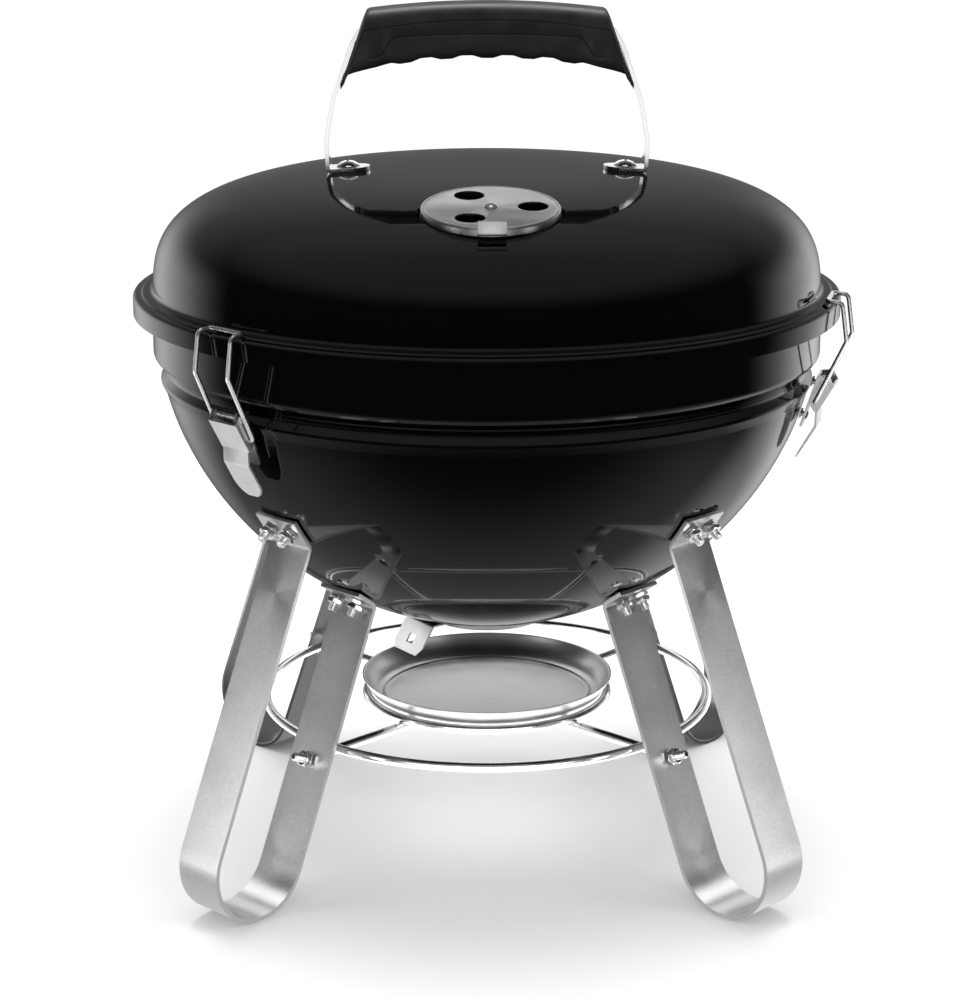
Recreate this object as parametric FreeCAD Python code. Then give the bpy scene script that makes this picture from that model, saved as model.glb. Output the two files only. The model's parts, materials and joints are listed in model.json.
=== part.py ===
"""Portable kettle charcoal grill: lid, bowl, looped legs, ash rack and toggle latches.

Millimetres, +Z up, front is -Y. The origin is on the ground, on the kettle's axis.
Azimuth 0 is the front, and it grows towards +X.
"""
import FreeCAD
import Part
import math
import os

V = FreeCAD.Vector
ORIGIN = V(0, 0, 0)
UP = V(0, 0, 1)
ACROSS = V(0, 1, 0)            # along the pins of a shape built with X outwards

# ---- driving dimensions -------------------------------------------------------------
SHEET = 1.2                    # enamelled sheet steel of the lid and the bowl
FIT = 0.05                     # radial clearance of a pin in its hole
GAP = 0.3                      # clearance between pieces that move apart

# lid
FLANGE_R = 195.0               # outside of the lid's turned-down rim
FLANGE_Z = 316.2               # flange surface near its edge
RIM_DEPTH = 10.5               # height of the turned-down rim
DOME_R = 184.1                 # dome at its foot
DOME_BASE_Z = 309.2            # plane that the dome's curve starts from
DOME_H = 72.3
DOME_POWER = 3.376             # superellipse exponent of the dome's outline

# bowl
BOWL_R = 182.9
BOWL_TOP_Z = 297.9             # plane that the bowl's curve starts from
BOWL_DEPTH = 171.9
BOWL_POWER = 1.92
BOWL_FLAT_R = 38.0             # flat at the bottom, for the damper
BAND_R = 184.7                 # straight band above the grate ledge
LIP_TOP_Z = 314.6              # top of the bowl's turned lip, under the lid's flange
LIP_R = 192.4

# dampers, the same pressing above and below
DAMPER_R = 35.85
DAMPER_DEPTH = 4.3
DAMPER_SHEET = 1.0
VENT_HOLE_R = 7.85
VENT_PITCH_R = 21.5
LID_DAMPER_Y = -116.0
LID_DAMPER_Z = 378.6
LID_DAMPER_TILT = 8.7          # degrees, leaning to the front
DAMPER_PIN_R = 2.2
DAMPER_HEAD_R = 3.6
DAMPER_HEAD_H = 1.9
DAMPER_TAB_W = 14.7            # finger tab of the lid's damper
DAMPER_TAB_TOP = 5.2           # its top edge above the damper's face
BOWL_LEVER_AZ = -56.0
BOWL_LEVER_W = 27.0
BOWL_LEVER_BEVEL = 4.0         # corners cut off the lever's end

# handle
STRAP_W = 19.0
STRAP_T = 2.2
FOOT_X = 76.0                  # screws of the handle's feet
GRIP_DEPTH = 29.0
GRIP_ROUND = 5.0
GRIP_TOP_Z = 472.0
GRIP_HALF = 71.5               # half length of the grip's underside
FINGER_PITCH = 22.0            # spacing of the bumps under the grip
FINGER_DEPTH = 1.5
GRIP_PARTING_Z = 463.3         # parting line of the two mouldings, at mid length
GRIP_PARTING_END_Z = 452.5     # and at PARTING_REACH to either side
PARTING_REACH = 90.0
SCREW_HEAD_R = 6.6             # screws of the handle's feet
SCREW_HEAD_H = 3.2
SCREW_LENGTH = 12.0

# legs
LEG_AZIMUTHS = (-135.0, -45.0, 45.0, 135.0)
LEG_W = 30.0
LEG_T = 2.2
LEG_LEAN = 23.3                # degrees from vertical
LEG_BEND_R = 30.7              # outside radius of the bend at the foot
LEG_FOOT_S = 188.3             # distance of the foot from the axis
LEG_FLAT = 0.15                # depth ground off the bend, so that it stands on a flat
LEG_TAB_Z = {"outer": 208.2, "inner": 161.2}
LEG_TAB_HALF = 8.3             # from a tab's bolts to its tip
LEG_TAB_CLEARANCE = 0.25       # between a tab and the bowl's curved wall
LEG_TAB_BEND_R = 2.5
LEG_BOLT_PITCH = 15.0
LEG_BOLT_LENGTH = 14.4
BOLT_R = 2.4
BOLT_HOLE_R = 2.6
BOLT_HEAD_R = 4.6
BOLT_HEAD_H = 2.6
HEX_R = 4.6                    # across the corners of a nut, as a radius
NUT_H = 4.0
THIN_NUT_H = 2.5               # the legs and the rack have two thin nuts on each bolt
NUT_GAP = 0.35

# ash rack
WIRE_R = 2.5
RACK_Z = 79.5
RACK_OUTER_R = 127.0
RACK_INNER_R = 69.0
SPOKE_INNER_R = 62.0
RACK_BOLT_Z = 73.0
RACK_BOLT_LENGTH = 17.0
RACK_LUG_R = 6.0
RACK_LUG_T = 2.0
TRAY_R = 71.7
TRAY_RIM_Z = 89.7
TRAY_FLOOR_Z = 77.8
TRAY_SHEET = 0.8

# grates
COOKING_R = 175.0              # centre line of the cooking grate's ring
COOKING_Z = 283.0
COOKING_BARS = 19
CHARCOAL_R = 113.5
CHARCOAL_Z = 176.0
CHARCOAL_BARS = 11
BAR_R = 2.0
BRACE_OFFSET = 0.4             # place of a cross brace, as a share of the grate's radius

# latches
LATCH_AZIMUTHS = {"left": -44.5, "right": 74.5, "rear": 195.0}
LATCH_PIN = (191.2, 275.0)     # lever pin, as distance from the axis and height
BAIL_PIVOT = (185.6, 262.8)
BAIL_CROSS = (190.6, 318.9)    # crossbar over the lid's flange
BAIL_KNEE = (201.8, 297.4)
BAIL_SHOULDER = (198.9, 318.3)
BAIL_HALF = 12.5
BAIL_R = 1.2
LATCH_TILT = 17.5              # degrees that the base plate leans with the bowl's wall
LATCH_PLATE_MID = (181.6, 262.5)
LATCH_PLATE_T = 1.2
LATCH_PLATE_W = 17.0
LATCH_RIVET_REACH = 9.5        # rivets above and below the middle of the base plate
LATCH_RIVET_R = 1.6
LATCH_PIN_R = 1.45
LATCH_PIN_HEAD_R = 2.3
LATCH_PIN_HEAD_H = 0.4
LEVER_W = 21.0
LEVER_T = 1.2
TONGUE_HALF = 9.5              # half width of the finger tongue
TONGUE_TIP_Z = 229.0


# ---- geometry helpers ---------------------------------------------------------------
def xz(point):
    return V(point[0], 0, point[1])


def radial(shape, azimuth):
    """Turns a shape built in the XZ plane, with X outwards, to an azimuth."""
    turned = shape.copy()
    turned.rotate(ORIGIN, UP, azimuth - 90)
    return turned


def wire_of(points, radii):
    """Straight runs in the XZ plane joined by tangent arcs; radii is per inner point."""
    edges = []
    start = xz(points[0])
    for index in range(1, len(points) - 1):
        corner = xz(points[index])
        before = (xz(points[index - 1]) - corner).normalize()
        after = (xz(points[index + 1]) - corner).normalize()
        radius = radii[index - 1]
        if radius > 0:
            half = before.getAngle(after) / 2
            reach = radius / math.tan(half)
            first = corner + before * reach
            last = corner + after * reach
            bisector = (before + after).normalize()
            middle = corner + bisector * (radius / math.sin(half) - radius)
            edges.append(Part.makeLine(start, first))
            edges.append(Part.Arc(first, middle, last).toShape())
            start = last
        else:
            edges.append(Part.makeLine(start, corner))
            start = corner
    edges.append(Part.makeLine(start, xz(points[-1])))
    return Part.Wire(edges)


def offset_corners(points, distance):
    """Moves a run of straight lines to its left by a distance, keeping its corners."""
    moved = []
    last = len(points) - 1
    for index in range(last + 1):
        here = xz(points[index])
        ahead = (xz(points[min(index + 1, last)]) - xz(points[min(index, last - 1)])).normalize()
        behind = (xz(points[max(index, 1)]) - xz(points[max(index - 1, 0)])).normalize()
        left_ahead = V(-ahead.z, 0, ahead.x)
        left_behind = V(-behind.z, 0, behind.x)
        mitre = (left_ahead + left_behind).normalize()
        shift = mitre * (distance / mitre.dot(left_ahead))
        moved.append((here.x + shift.x, here.z + shift.z))
    return moved


def turn_side(before, corner, after):
    """+1 where the route turns to its left in the XZ plane, -1 to its right."""
    first = xz(corner) - xz(before)
    second = xz(after) - xz(corner)
    return 1 if first.x * second.z - first.z * second.x > 0 else -1


def offset_radii(points, radii, distance):
    moved = []
    for index, radius in enumerate(radii):
        side = turn_side(points[index], points[index + 1], points[index + 2])
        moved.append(max(radius - side * distance, 0) if radius else 0)
    return moved


def plate(points, radii, thickness):
    """Section of a bent sheet: the route given is its one face, the other lies to its left."""
    near = wire_of(points, radii)
    other_points = offset_corners(points, thickness)
    far = wire_of(other_points, offset_radii(points, radii, thickness))
    caps = [Part.makeLine(xz(points[0]), xz(other_points[0])),
            Part.makeLine(xz(points[-1]), xz(other_points[-1]))]
    return Part.Face(Part.Wire(Part.__sortEdges__(near.Edges + caps + far.Edges)))


def centred_extrude(face, width):
    face = face.copy()
    face.translate(V(0, -width / 2, 0))
    return face.extrude(V(0, width, 0))


def revolve(face):
    return face.revolve(ORIGIN, UP, 360)


def polygon(points):
    corners = [xz(point) for point in points]
    return Part.Face(Part.makePolygon(corners + corners[:1]))


def ring(radius, height, wire_r):
    return Part.makeTorus(radius, wire_r, V(0, 0, height))


def rod(start, end, radius):
    span = end - start
    return Part.makeCylinder(radius, span.Length, start, span)


def tube(wire, radius):
    edge = wire.Edges[0]
    start = edge.valueAt(edge.FirstParameter)
    tangent = edge.tangentAt(edge.FirstParameter)
    section = Part.Wire(Part.makeCircle(radius, start, tangent))
    return wire.makePipeShell([section], True, True)


def hexagon(base, axis, height, corner_r):
    points = []
    for step in range(7):
        angle = math.radians(60 * step)
        points.append(V(corner_r * math.cos(angle), corner_r * math.sin(angle), 0))
    prism = Part.Face(Part.makePolygon(points)).extrude(V(0, 0, height))
    prism.Placement = FreeCAD.Placement(base, FreeCAD.Rotation(UP, axis))
    return prism


def round_hole(radius, length, middle, axis):
    """Cylinder centred on a point, as a cutting tool."""
    return Part.makeCylinder(radius, length, middle - axis * (length / 2), axis)


def cut_all(shape, tools):
    for tool in tools:
        shape = shape.cut(tool)
    return shape


def fuse_all(shapes):
    whole = shapes[0]
    for shape in shapes[1:]:
        whole = whole.fuse(shape)
    return whole.removeSplitter()


def dome_z(r, shrink=0.0):
    ratio = (r / (DOME_R - shrink)) ** DOME_POWER
    return DOME_BASE_Z + (DOME_H - shrink) * (1 - ratio) ** (1 / DOME_POWER)


def bowl_r(z):
    ratio = ((BOWL_TOP_Z - z) / BOWL_DEPTH) ** BOWL_POWER
    return BOWL_R * (1 - ratio) ** (1 / BOWL_POWER)


def bowl_z(r):
    ratio = (r / BOWL_R) ** BOWL_POWER
    return BOWL_TOP_Z - BOWL_DEPTH * (1 - ratio) ** (1 / BOWL_POWER)


def bowl_direction(z):
    """Unit vector up along the bowl's wall at a height, in the XZ plane."""
    step = 0.5
    return V(bowl_r(z + step) - bowl_r(z - step), 0, 2 * step).normalize()


def spline(points):
    curve = Part.BSplineCurve()
    curve.interpolate([xz(point) for point in points])
    return curve.toShape()


# ---- lid ----------------------------------------------------------------------------
DAMPER_FACE = V(0, LID_DAMPER_Y, LID_DAMPER_Z)
FOOT_Z = dome_z(FOOT_X)
SCREW_SEAT_Z = FOOT_Z + STRAP_T + 0.35


def on_damper(shape):
    """Moves a shape from the origin's XY plane to the lid damper's tilted face."""
    moved = shape.copy()
    moved.rotate(ORIGIN, V(1, 0, 0), LID_DAMPER_TILT)
    moved.translate(DAMPER_FACE)
    return moved


def lid_outline(shrink):
    """Dome outline from the axis to its foot; shrink gives the inside of the sheet."""
    foot_r = DOME_R - shrink - 0.05
    stations = [foot_r * math.sin(math.radians(angle)) for angle in range(0, 91, 6)]
    return [(r, dome_z(r, shrink)) for r in stations]


def vent_cutters(height):
    cutters = []
    for angle in (0, 120, 240):
        x = VENT_PITCH_R * math.cos(math.radians(angle))
        y = VENT_PITCH_R * math.sin(math.radians(angle))
        cutters.append(Part.makeCylinder(VENT_HOLE_R, height, V(x, y, -height / 2)))
    return cutters


def lid_shell():
    foot_z = dome_z(DOME_R - 0.05)
    outer_dome = spline(lid_outline(0))
    inner_dome = spline(lid_outline(SHEET))
    inner_foot = (DOME_R - SHEET - 0.05, dome_z(DOME_R - SHEET - 0.05, SHEET))
    edge_z = FLANGE_Z - RIM_DEPTH
    outer = [(DOME_R - 0.05, foot_z), (DOME_R, 319.2), (186.6, 318.0), (189.6, 317.6),
             (190.2, 317.0), (193.4, FLANGE_Z), (FLANGE_R, FLANGE_Z - 1.4), (FLANGE_R, edge_z)]
    inner = [(FLANGE_R - SHEET, edge_z), (FLANGE_R - SHEET, 315.2), (186.6, 316.4),
             (DOME_R - SHEET, 316.4), inner_foot]
    flange = [Part.makeLine(xz(a), xz(b)) for a, b in zip(outer, outer[1:])]
    turn = [Part.makeLine(xz(outer[-1]), xz(inner[0]))]
    under = [Part.makeLine(xz(a), xz(b)) for a, b in zip(inner, inner[1:])]
    crown = [Part.makeLine(V(0, 0, dome_z(0, SHEET)), V(0, 0, dome_z(0)))]
    loop = Part.Wire(Part.__sortEdges__([outer_dome] + flange + turn + under + [inner_dome] + crown))
    shell = revolve(Part.Face(loop))
    seat_depth = DAMPER_DEPTH + GAP
    pad = Part.makeCylinder(DAMPER_R + 2.4, SHEET, V(0, 0, -seat_depth - SHEET))
    well = Part.makeCone(DAMPER_R + 1.0, DAMPER_R + 7.0, 12, V(0, 0, -seat_depth))
    shell = shell.fuse(on_damper(pad)).cut(on_damper(well))
    tools = [on_damper(tool) for tool in vent_cutters(40)]
    tools.append(on_damper(round_hole(DAMPER_PIN_R, 40, ORIGIN, UP)))
    for side in (-1, 1):
        tools.append(round_hole(BOLT_HOLE_R, 20, V(side * FOOT_X, 0, FOOT_Z), UP))
    return cut_all(shell, tools).removeSplitter()


def damper_cup():
    """Shallow pressed cup, its face up at z = 0 and its skirt below, with vent holes."""
    outline = [(0, 0), (DAMPER_R - 2.2, 0), (DAMPER_R - 0.5, -0.9), (DAMPER_R, -DAMPER_DEPTH),
               (DAMPER_R - DAMPER_SHEET, -DAMPER_DEPTH), (DAMPER_R - 1.5, -1.7),
               (DAMPER_R - 2.6, -DAMPER_SHEET), (0, -DAMPER_SHEET)]
    cup = revolve(polygon(outline))
    return cut_all(cup, vent_cutters(10) + [round_hole(DAMPER_PIN_R + FIT, 10, ORIGIN, UP)])


def lid_damper():
    """Cup with a turned-up finger tab that stays above the dome over the damper's travel."""
    root_z = -DAMPER_DEPTH + 1.3
    path = [(DAMPER_R - 0.9, root_z), (DAMPER_R + 4.0, root_z), (DAMPER_R + 4.6, DAMPER_TAB_TOP)]
    tab = centred_extrude(plate(path, [1.6], DAMPER_SHEET), DAMPER_TAB_W)
    tab = radial(tab, 0)
    return on_damper(fuse_all([damper_cup(), tab]))


def rivet(shank_r, length, head_r, head_h):
    """Rivet with its domed head's underside at z = 0 and its shank below."""
    crown_r = (head_r ** 2 + head_h ** 2) / (2 * head_h)
    ball = Part.makeSphere(crown_r, V(0, 0, head_h - crown_r))
    head = ball.common(Part.makeCylinder(head_r, head_h + 1, ORIGIN))
    shank = Part.makeCylinder(shank_r, length, V(0, 0, -length))
    peen = Part.makeCylinder(head_r, 1.0, V(0, 0, -length - 1.0))
    return fuse_all([head, shank, peen])


def damper_rivet():
    length = DAMPER_DEPTH + GAP + SHEET + 0.2
    return rivet(DAMPER_PIN_R, length, DAMPER_HEAD_R, DAMPER_HEAD_H).translate(V(0, 0, FIT))


def foot_tilt():
    step = 1.0
    drop = dome_z(FOOT_X - step) - dome_z(FOOT_X + step)
    return math.degrees(math.atan2(drop, 2 * step))


STRAP_ARCH = [(88.6, 398.0), (84.6, 419.5), (74.4, 449.5), (68.4, 459.6)]
STRAP_RADII = [40.0, 25.0, 6.0, 6.0, 25.0, 40.0]


def mirrored_route(side):
    """Route from the left side's start, over the middle, to the right side's start."""
    return [(-x, z) for x, z in side] + side[::-1]


def handle_strap():
    """Flat strap: two feet on the dome and an arch that runs through the grip."""
    foot_end = FOOT_X - 12.0
    heel = 87.8
    lift = 0.2
    feet = [(foot_end, dome_z(foot_end) + lift), (heel, dome_z(heel) + lift)]
    points = mirrored_route(feet + STRAP_ARCH)
    radii = [3.0, 25.0] + STRAP_RADII + [25.0, 3.0]
    strap = centred_extrude(plate(points, radii, -STRAP_T), STRAP_W)
    tools = []
    for sign in (-1, 1):
        x = sign * FOOT_X
        block = Part.makeBox(14, 40, 12, V(x - 7 - sign * 11, -20, FOOT_Z - 6))
        toe = round_hole(STRAP_W / 2, 12, V(x - sign * 2.5, 0, FOOT_Z), UP)
        tools.append(block.cut(toe))
        tools.append(round_hole(BOLT_HOLE_R, 20, V(x, 0, FOOT_Z), UP))
    return cut_all(strap, tools)


def grip_outline():
    """Side view of the grip: crowned top, tapering ends and finger bumps below."""
    top = [(-79.2, 429.0), (-76.4, 436.0), (-67.2, 462.5), (-64.2, 467.6)]
    edges = [spline(top)]
    mirrored = [(-x, z) for x, z in reversed(top)]
    edges.append(Part.Arc(xz(top[-1]), V(0, 0, GRIP_TOP_Z), xz(mirrored[0])).toShape())
    edges.append(spline(mirrored))
    stations = 61
    under = []
    for index in range(stations):
        t = 1 - 2 * index / (stations - 1)
        x = GRIP_HALF * t
        arch = 442.6 - 9.5 * abs(t) ** 2.6
        bump = FINGER_DEPTH / 2 * math.cos(2 * math.pi * x / FINGER_PITCH) * (1 - t ** 4)
        under.append((x, arch - bump))
    edges.append(spline(under))
    edges.append(Part.makeLine(xz(mirrored[-1]), xz(under[0])))
    edges.append(Part.makeLine(xz(under[-1]), xz(top[0])))
    return Part.Face(Part.Wire(Part.__sortEdges__(edges)))


def grip_block():
    """Solid grip with rounded upper edges."""
    body = centred_extrude(grip_outline(), GRIP_DEPTH)
    long_edges = []
    for edge in body.Edges:
        middle = edge.valueAt((edge.FirstParameter + edge.LastParameter) / 2)
        if abs(middle.y) > GRIP_DEPTH / 2 - 0.2 and middle.z > 445:
            long_edges.append(edge)
    return body.makeFillet(GRIP_ROUND, long_edges)


def parting_tool():
    """Everything above the curved parting line between the two grip mouldings."""
    above = GRIP_TOP_Z + 10
    left = V(-PARTING_REACH, 0, GRIP_PARTING_END_Z)
    right = V(PARTING_REACH, 0, GRIP_PARTING_END_Z)
    line = Part.Arc(left, V(0, 0, GRIP_PARTING_Z), right).toShape()
    sides = Part.makePolygon([right, V(PARTING_REACH, 0, above), V(-PARTING_REACH, 0, above), left])
    return centred_extrude(Part.Face(Part.Wire([line] + sides.Edges)), 80)


def grip_halves():
    """Upper and lower mouldings, slotted for the strap, with a groove at their parting."""
    block = grip_block()
    slot = strap_slot()
    tool = parting_tool()
    upper = block.common(tool).cut(slot)
    lower_tool = tool.copy()
    lower_tool.translate(V(0, 0, -0.05))
    lower = block.cut(lower_tool).cut(slot)
    return upper, lower


def strap_slot():
    """Room for the strap inside the grip."""
    points = mirrored_route(STRAP_ARCH)
    clearance = 0.1
    inside = offset_corners(points, clearance)
    radii = offset_radii(points, STRAP_RADII, clearance)
    section = plate(inside, radii, -STRAP_T - 2 * clearance)
    return centred_extrude(section, STRAP_W + 2 * clearance)


def pan_screw(head_r, head_h, shank_r, length):
    """Cross-head screw, head underside at z = 0 and shank below."""
    crown_r = (head_r ** 2 + head_h ** 2) / (2 * head_h)
    ball = Part.makeSphere(crown_r, V(0, 0, head_h - crown_r))
    head = ball.common(Part.makeCylinder(head_r, head_h + 1, ORIGIN))
    slot_long = Part.makeBox(head_r * 0.9, 1.3, 2, V(-head_r * 0.45, -0.65, head_h - 1.5))
    slot_cross = slot_long.copy()
    slot_cross.rotate(ORIGIN, UP, 90)
    head = head.cut(slot_long).cut(slot_cross)
    return fuse_all([head, Part.makeCylinder(shank_r, length, V(0, 0, -length))])


def handle_screws():
    screws = []
    for side in (-1, 1):
        screw = pan_screw(SCREW_HEAD_R, SCREW_HEAD_H, BOLT_R, SCREW_LENGTH)
        screw.rotate(ORIGIN, V(0, 1, 0), side * foot_tilt())
        screw.translate(V(side * FOOT_X, 0, SCREW_SEAT_Z))
        screws.append(screw)
    return Part.makeCompound(screws)


def nut(base, axis, height):
    body = hexagon(base, axis, height, HEX_R)
    return body.cut(round_hole(BOLT_R + FIT, 3 * height, base, axis))


def nut_pair(base, axis):
    """Thin nut and the lock nut over it."""
    return [nut(base, axis, THIN_NUT_H), nut(base + axis * (THIN_NUT_H + NUT_GAP), axis, THIN_NUT_H)]


def handle_nuts():
    nuts = []
    for side in (-1, 1):
        tilt = math.radians(foot_tilt())
        axis = V(-side * math.sin(tilt), 0, -math.cos(tilt))
        nuts.append(nut(V(side * FOOT_X, 0, SCREW_SEAT_Z) + axis * 4.4, axis, NUT_H))
    return Part.makeCompound(nuts)


# ---- bowl ---------------------------------------------------------------------------
def bowl_section():
    """Half section of the bowl: flat bottom, curved wall, grate ledge, band and turned lip."""
    floor_z = bowl_z(BOWL_FLAT_R)
    wall_top_z = 264.0
    high = bowl_r(wall_top_z)
    outer = []
    inner = []
    for index in range(15):
        r = BOWL_FLAT_R + (high - BOWL_FLAT_R) * math.sin(math.radians(90 * index / 14))
        z = wall_top_z if index == 14 else bowl_z(r)
        along = bowl_direction(z)
        outer.append((r, z))
        inner.append((r - SHEET * along.z, z + SHEET * along.x))
    along = bowl_direction(wall_top_z)
    rim = [outer[-1], (high + along.x, wall_top_z + along.z), (181.4, 269.0), (177.4, 273.8),
           (179.6, 277.6), (BAND_R, 283.0), (BAND_R, LIP_TOP_Z - SHEET),
           (LIP_R - SHEET, LIP_TOP_Z - SHEET), (LIP_R - SHEET, LIP_TOP_Z - 7)]
    radii = [0, 1.5, 1.0, 4.0, 5.0, 1.6, 2.0]
    rim_outer = wire_of(rim, radii).Edges
    inner_rim = offset_corners(rim, SHEET)
    rim_inner = wire_of(inner_rim, offset_radii(rim, radii, SHEET)).Edges
    inner[-1] = inner_rim[0]
    edges = [Part.makeLine(V(0, 0, floor_z), xz(outer[0])), spline(outer)] + rim_outer
    edges.append(Part.makeLine(xz(rim[-1]), xz(inner_rim[-1])))
    edges += rim_inner + [spline(inner)]
    edges.append(Part.makeLine(xz(inner[0]), V(0, 0, inner[0][1])))
    edges.append(Part.makeLine(V(0, 0, inner[0][1]), V(0, 0, floor_z)))
    return Part.Face(Part.Wire(Part.__sortEdges__(edges)))


def tab_frames():
    """For each end tab of a leg: point on the bowl, direction up the wall, outward normal."""
    frames = {}
    for name, z in LEG_TAB_Z.items():
        along = bowl_direction(z)
        normal = V(along.z, 0, -along.x)
        frames[name] = (V(bowl_r(z), 0, z), along, normal)
    return frames


def leg_bolt_axes():
    """Points on the bowl's wall and outward normals of all the leg bolts."""
    axes = []
    for azimuth in LEG_AZIMUTHS:
        for point, _, normal in tab_frames().values():
            for side in (-1, 1):
                base = V(point.x, side * LEG_BOLT_PITCH / 2, point.z)
                turn = FreeCAD.Rotation(UP, azimuth - 90)
                axes.append((turn.multVec(base), turn.multVec(normal)))
    return axes


def bowl_shell():
    shell = revolve(bowl_section())
    floor_z = bowl_z(BOWL_FLAT_R)
    tools = [tool.translate(V(0, 0, floor_z)) for tool in vent_cutters(20)]
    tools.append(round_hole(DAMPER_PIN_R, 20, V(0, 0, floor_z), UP))
    for base, normal in leg_bolt_axes():
        tools.append(round_hole(BOLT_HOLE_R, 24, base, normal))
    return cut_all(shell, tools)


LEVER_END = 12.6               # height of the lever's end over the cup's face, before turning


def bowl_damper():
    """The same cup upside down under the bowl, with a long finger lever."""
    cup = damper_cup()
    root_z = -DAMPER_DEPTH + 0.5
    path = [(DAMPER_R - 0.9, root_z), (46.0, root_z), (56.5, LEVER_END)]
    lever = centred_extrude(plate(path, [2.0], DAMPER_SHEET), BOWL_LEVER_W)
    hole = Part.makeBox(20, 6.0, 4.5, V(46, -3.0, 3.5))
    lever = cut_all(lever, lever_corner_tools() + [hole])
    whole = fuse_all([cup, radial(lever, 0)])
    whole.rotate(ORIGIN, V(0, 1, 0), 180)
    whole.rotate(ORIGIN, UP, BOWL_LEVER_AZ)
    whole.translate(V(0, 0, bowl_z(BOWL_FLAT_R) - GAP - DAMPER_DEPTH))
    return whole


def lever_corner_tools():
    """Cuts the lever's far corners off at an angle."""
    tools = []
    above = LEVER_END + 1.4
    for side in (-1, 1):
        corner = side * BOWL_LEVER_W / 2
        points = [V(30, corner, LEVER_END + 0.2 - BOWL_LEVER_BEVEL), V(30, corner, above),
                  V(30, corner - side * BOWL_LEVER_BEVEL, above)]
        tools.append(Part.Face(Part.makePolygon(points + points[:1])).extrude(V(40, 0, 0)))
    return tools


def bowl_damper_rivet():
    pin = damper_rivet()
    pin.rotate(ORIGIN, V(1, 0, 0), 180)
    pin.translate(V(0, 0, bowl_z(BOWL_FLAT_R) - GAP - DAMPER_DEPTH))
    return pin


# ---- grates -------------------------------------------------------------------------
def grate_bars(radius, height, count):
    """Parallel bars across a grate's ring."""
    pitch = 2 * radius / (count + 1)
    bars = []
    for index in range(count):
        y = -radius + pitch * (index + 1)
        half = math.sqrt((radius - 0.5) ** 2 - y ** 2)
        bars.append(rod(V(-half, y, height), V(half, y, height), BAR_R))
    return Part.makeCompound(bars)


def grate_braces(radius, height):
    """Two rods across the bars, under the ring."""
    place = radius * BRACE_OFFSET
    half = math.sqrt((radius - 0.5) ** 2 - place ** 2)
    braces = []
    for side in (-1, 1):
        x = side * place
        braces.append(rod(V(x, -half, height), V(x, half, height), BAR_R))
    return Part.makeCompound(braces)


# ---- legs ---------------------------------------------------------------------------
LEAN = math.radians(LEG_LEAN)
LEG_DOWN = V(math.sin(LEAN), 0, -math.cos(LEAN))
LEG_OUT = V(math.cos(LEAN), 0, math.sin(LEAN))
LEG_CENTRE = V(LEG_FOOT_S, 0, LEG_BEND_R - LEG_FLAT)


def meet(point_a, along_a, point_b, along_b):
    """Where two lines in the XZ plane cross."""
    span = point_b - point_a
    cross = along_a.x * along_b.z - along_a.z * along_b.x
    reach = (span.x * along_b.z - span.z * along_b.x) / cross
    return point_a + along_a * reach


def leg():
    """Flat strip: end tab, strap, U-bend at the foot, strap, end tab. Built with X outwards."""
    frames = tab_frames()
    ends = {}
    for name, side in (("outer", 1), ("inner", -1)):
        point, along, normal = frames[name]
        stand_off = LEG_TAB_CLEARANCE + (LEG_T if side > 0 else 0)
        line_point = point + normal * stand_off
        strap_point = LEG_CENTRE + LEG_OUT * (side * LEG_BEND_R)
        corner = meet(line_point, along, strap_point, LEG_DOWN)
        ends[name] = (line_point + along * LEG_TAB_HALF, corner, strap_point)
    outer_tip, outer_corner, outer_foot = ends["outer"]
    inner_tip, inner_corner, inner_foot = ends["inner"]
    half_turn = Part.Arc(outer_foot, LEG_CENTRE + LEG_DOWN * LEG_BEND_R, inner_foot).toShape()
    inside_r = LEG_BEND_R - LEG_T
    inside_turn = Part.Arc(LEG_CENTRE + LEG_OUT * inside_r, LEG_CENTRE + LEG_DOWN * inside_r,
                           LEG_CENTRE - LEG_OUT * inside_r).toShape()
    outer_run = [(p.x, p.z) for p in (outer_tip, outer_corner, outer_foot)]
    inner_run = [(p.x, p.z) for p in (inner_foot, inner_corner, inner_tip)]
    edges = [half_turn, inside_turn]
    for run, bend_r in ((outer_run, LEG_TAB_BEND_R), (inner_run, LEG_TAB_BEND_R + LEG_T)):
        inside = offset_corners(run, -LEG_T)
        edges += wire_of(run, [bend_r]).Edges
        edges += wire_of(inside, offset_radii(run, [bend_r], -LEG_T)).Edges
    for run, end in ((outer_run, 0), (inner_run, -1)):
        edges.append(Part.makeLine(xz(run[end]), xz(offset_corners(run, -LEG_T)[end])))
    strip = centred_extrude(Part.Face(Part.Wire(Part.__sortEdges__(edges))), LEG_W)
    strip = strip.cut(Part.makeBox(400, 100, 20, V(0, -50, -20)))
    rack_point, rack_axis = rack_bolt_line()
    tools = [round_hole(BOLT_HOLE_R, 20, rack_point, rack_axis)]
    for point, _, normal in frames.values():
        for side in (-1, 1):
            base = V(point.x, side * LEG_BOLT_PITCH / 2, point.z)
            tools.append(round_hole(BOLT_HOLE_R, 20, base, normal))
    return cut_all(strip, tools)


def leg_bolts():
    """Round-head bolts from inside the bowl, with their ends proud of the nuts."""
    bolts = []
    for base, normal in leg_bolt_axes():
        bolt = pan_screw(BOLT_HEAD_R, BOLT_HEAD_H, BOLT_R, LEG_BOLT_LENGTH)
        bolt.Placement = FreeCAD.Placement(base - normal * (SHEET + 0.8), FreeCAD.Rotation(UP, -normal))
        bolts.append(bolt)
    return Part.makeCompound(bolts)


def leg_nuts():
    nuts = []
    for base, normal in leg_bolt_axes():
        nuts.extend(nut_pair(base + normal * (LEG_T + 0.45), normal))
    return Part.makeCompound(nuts)


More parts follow.
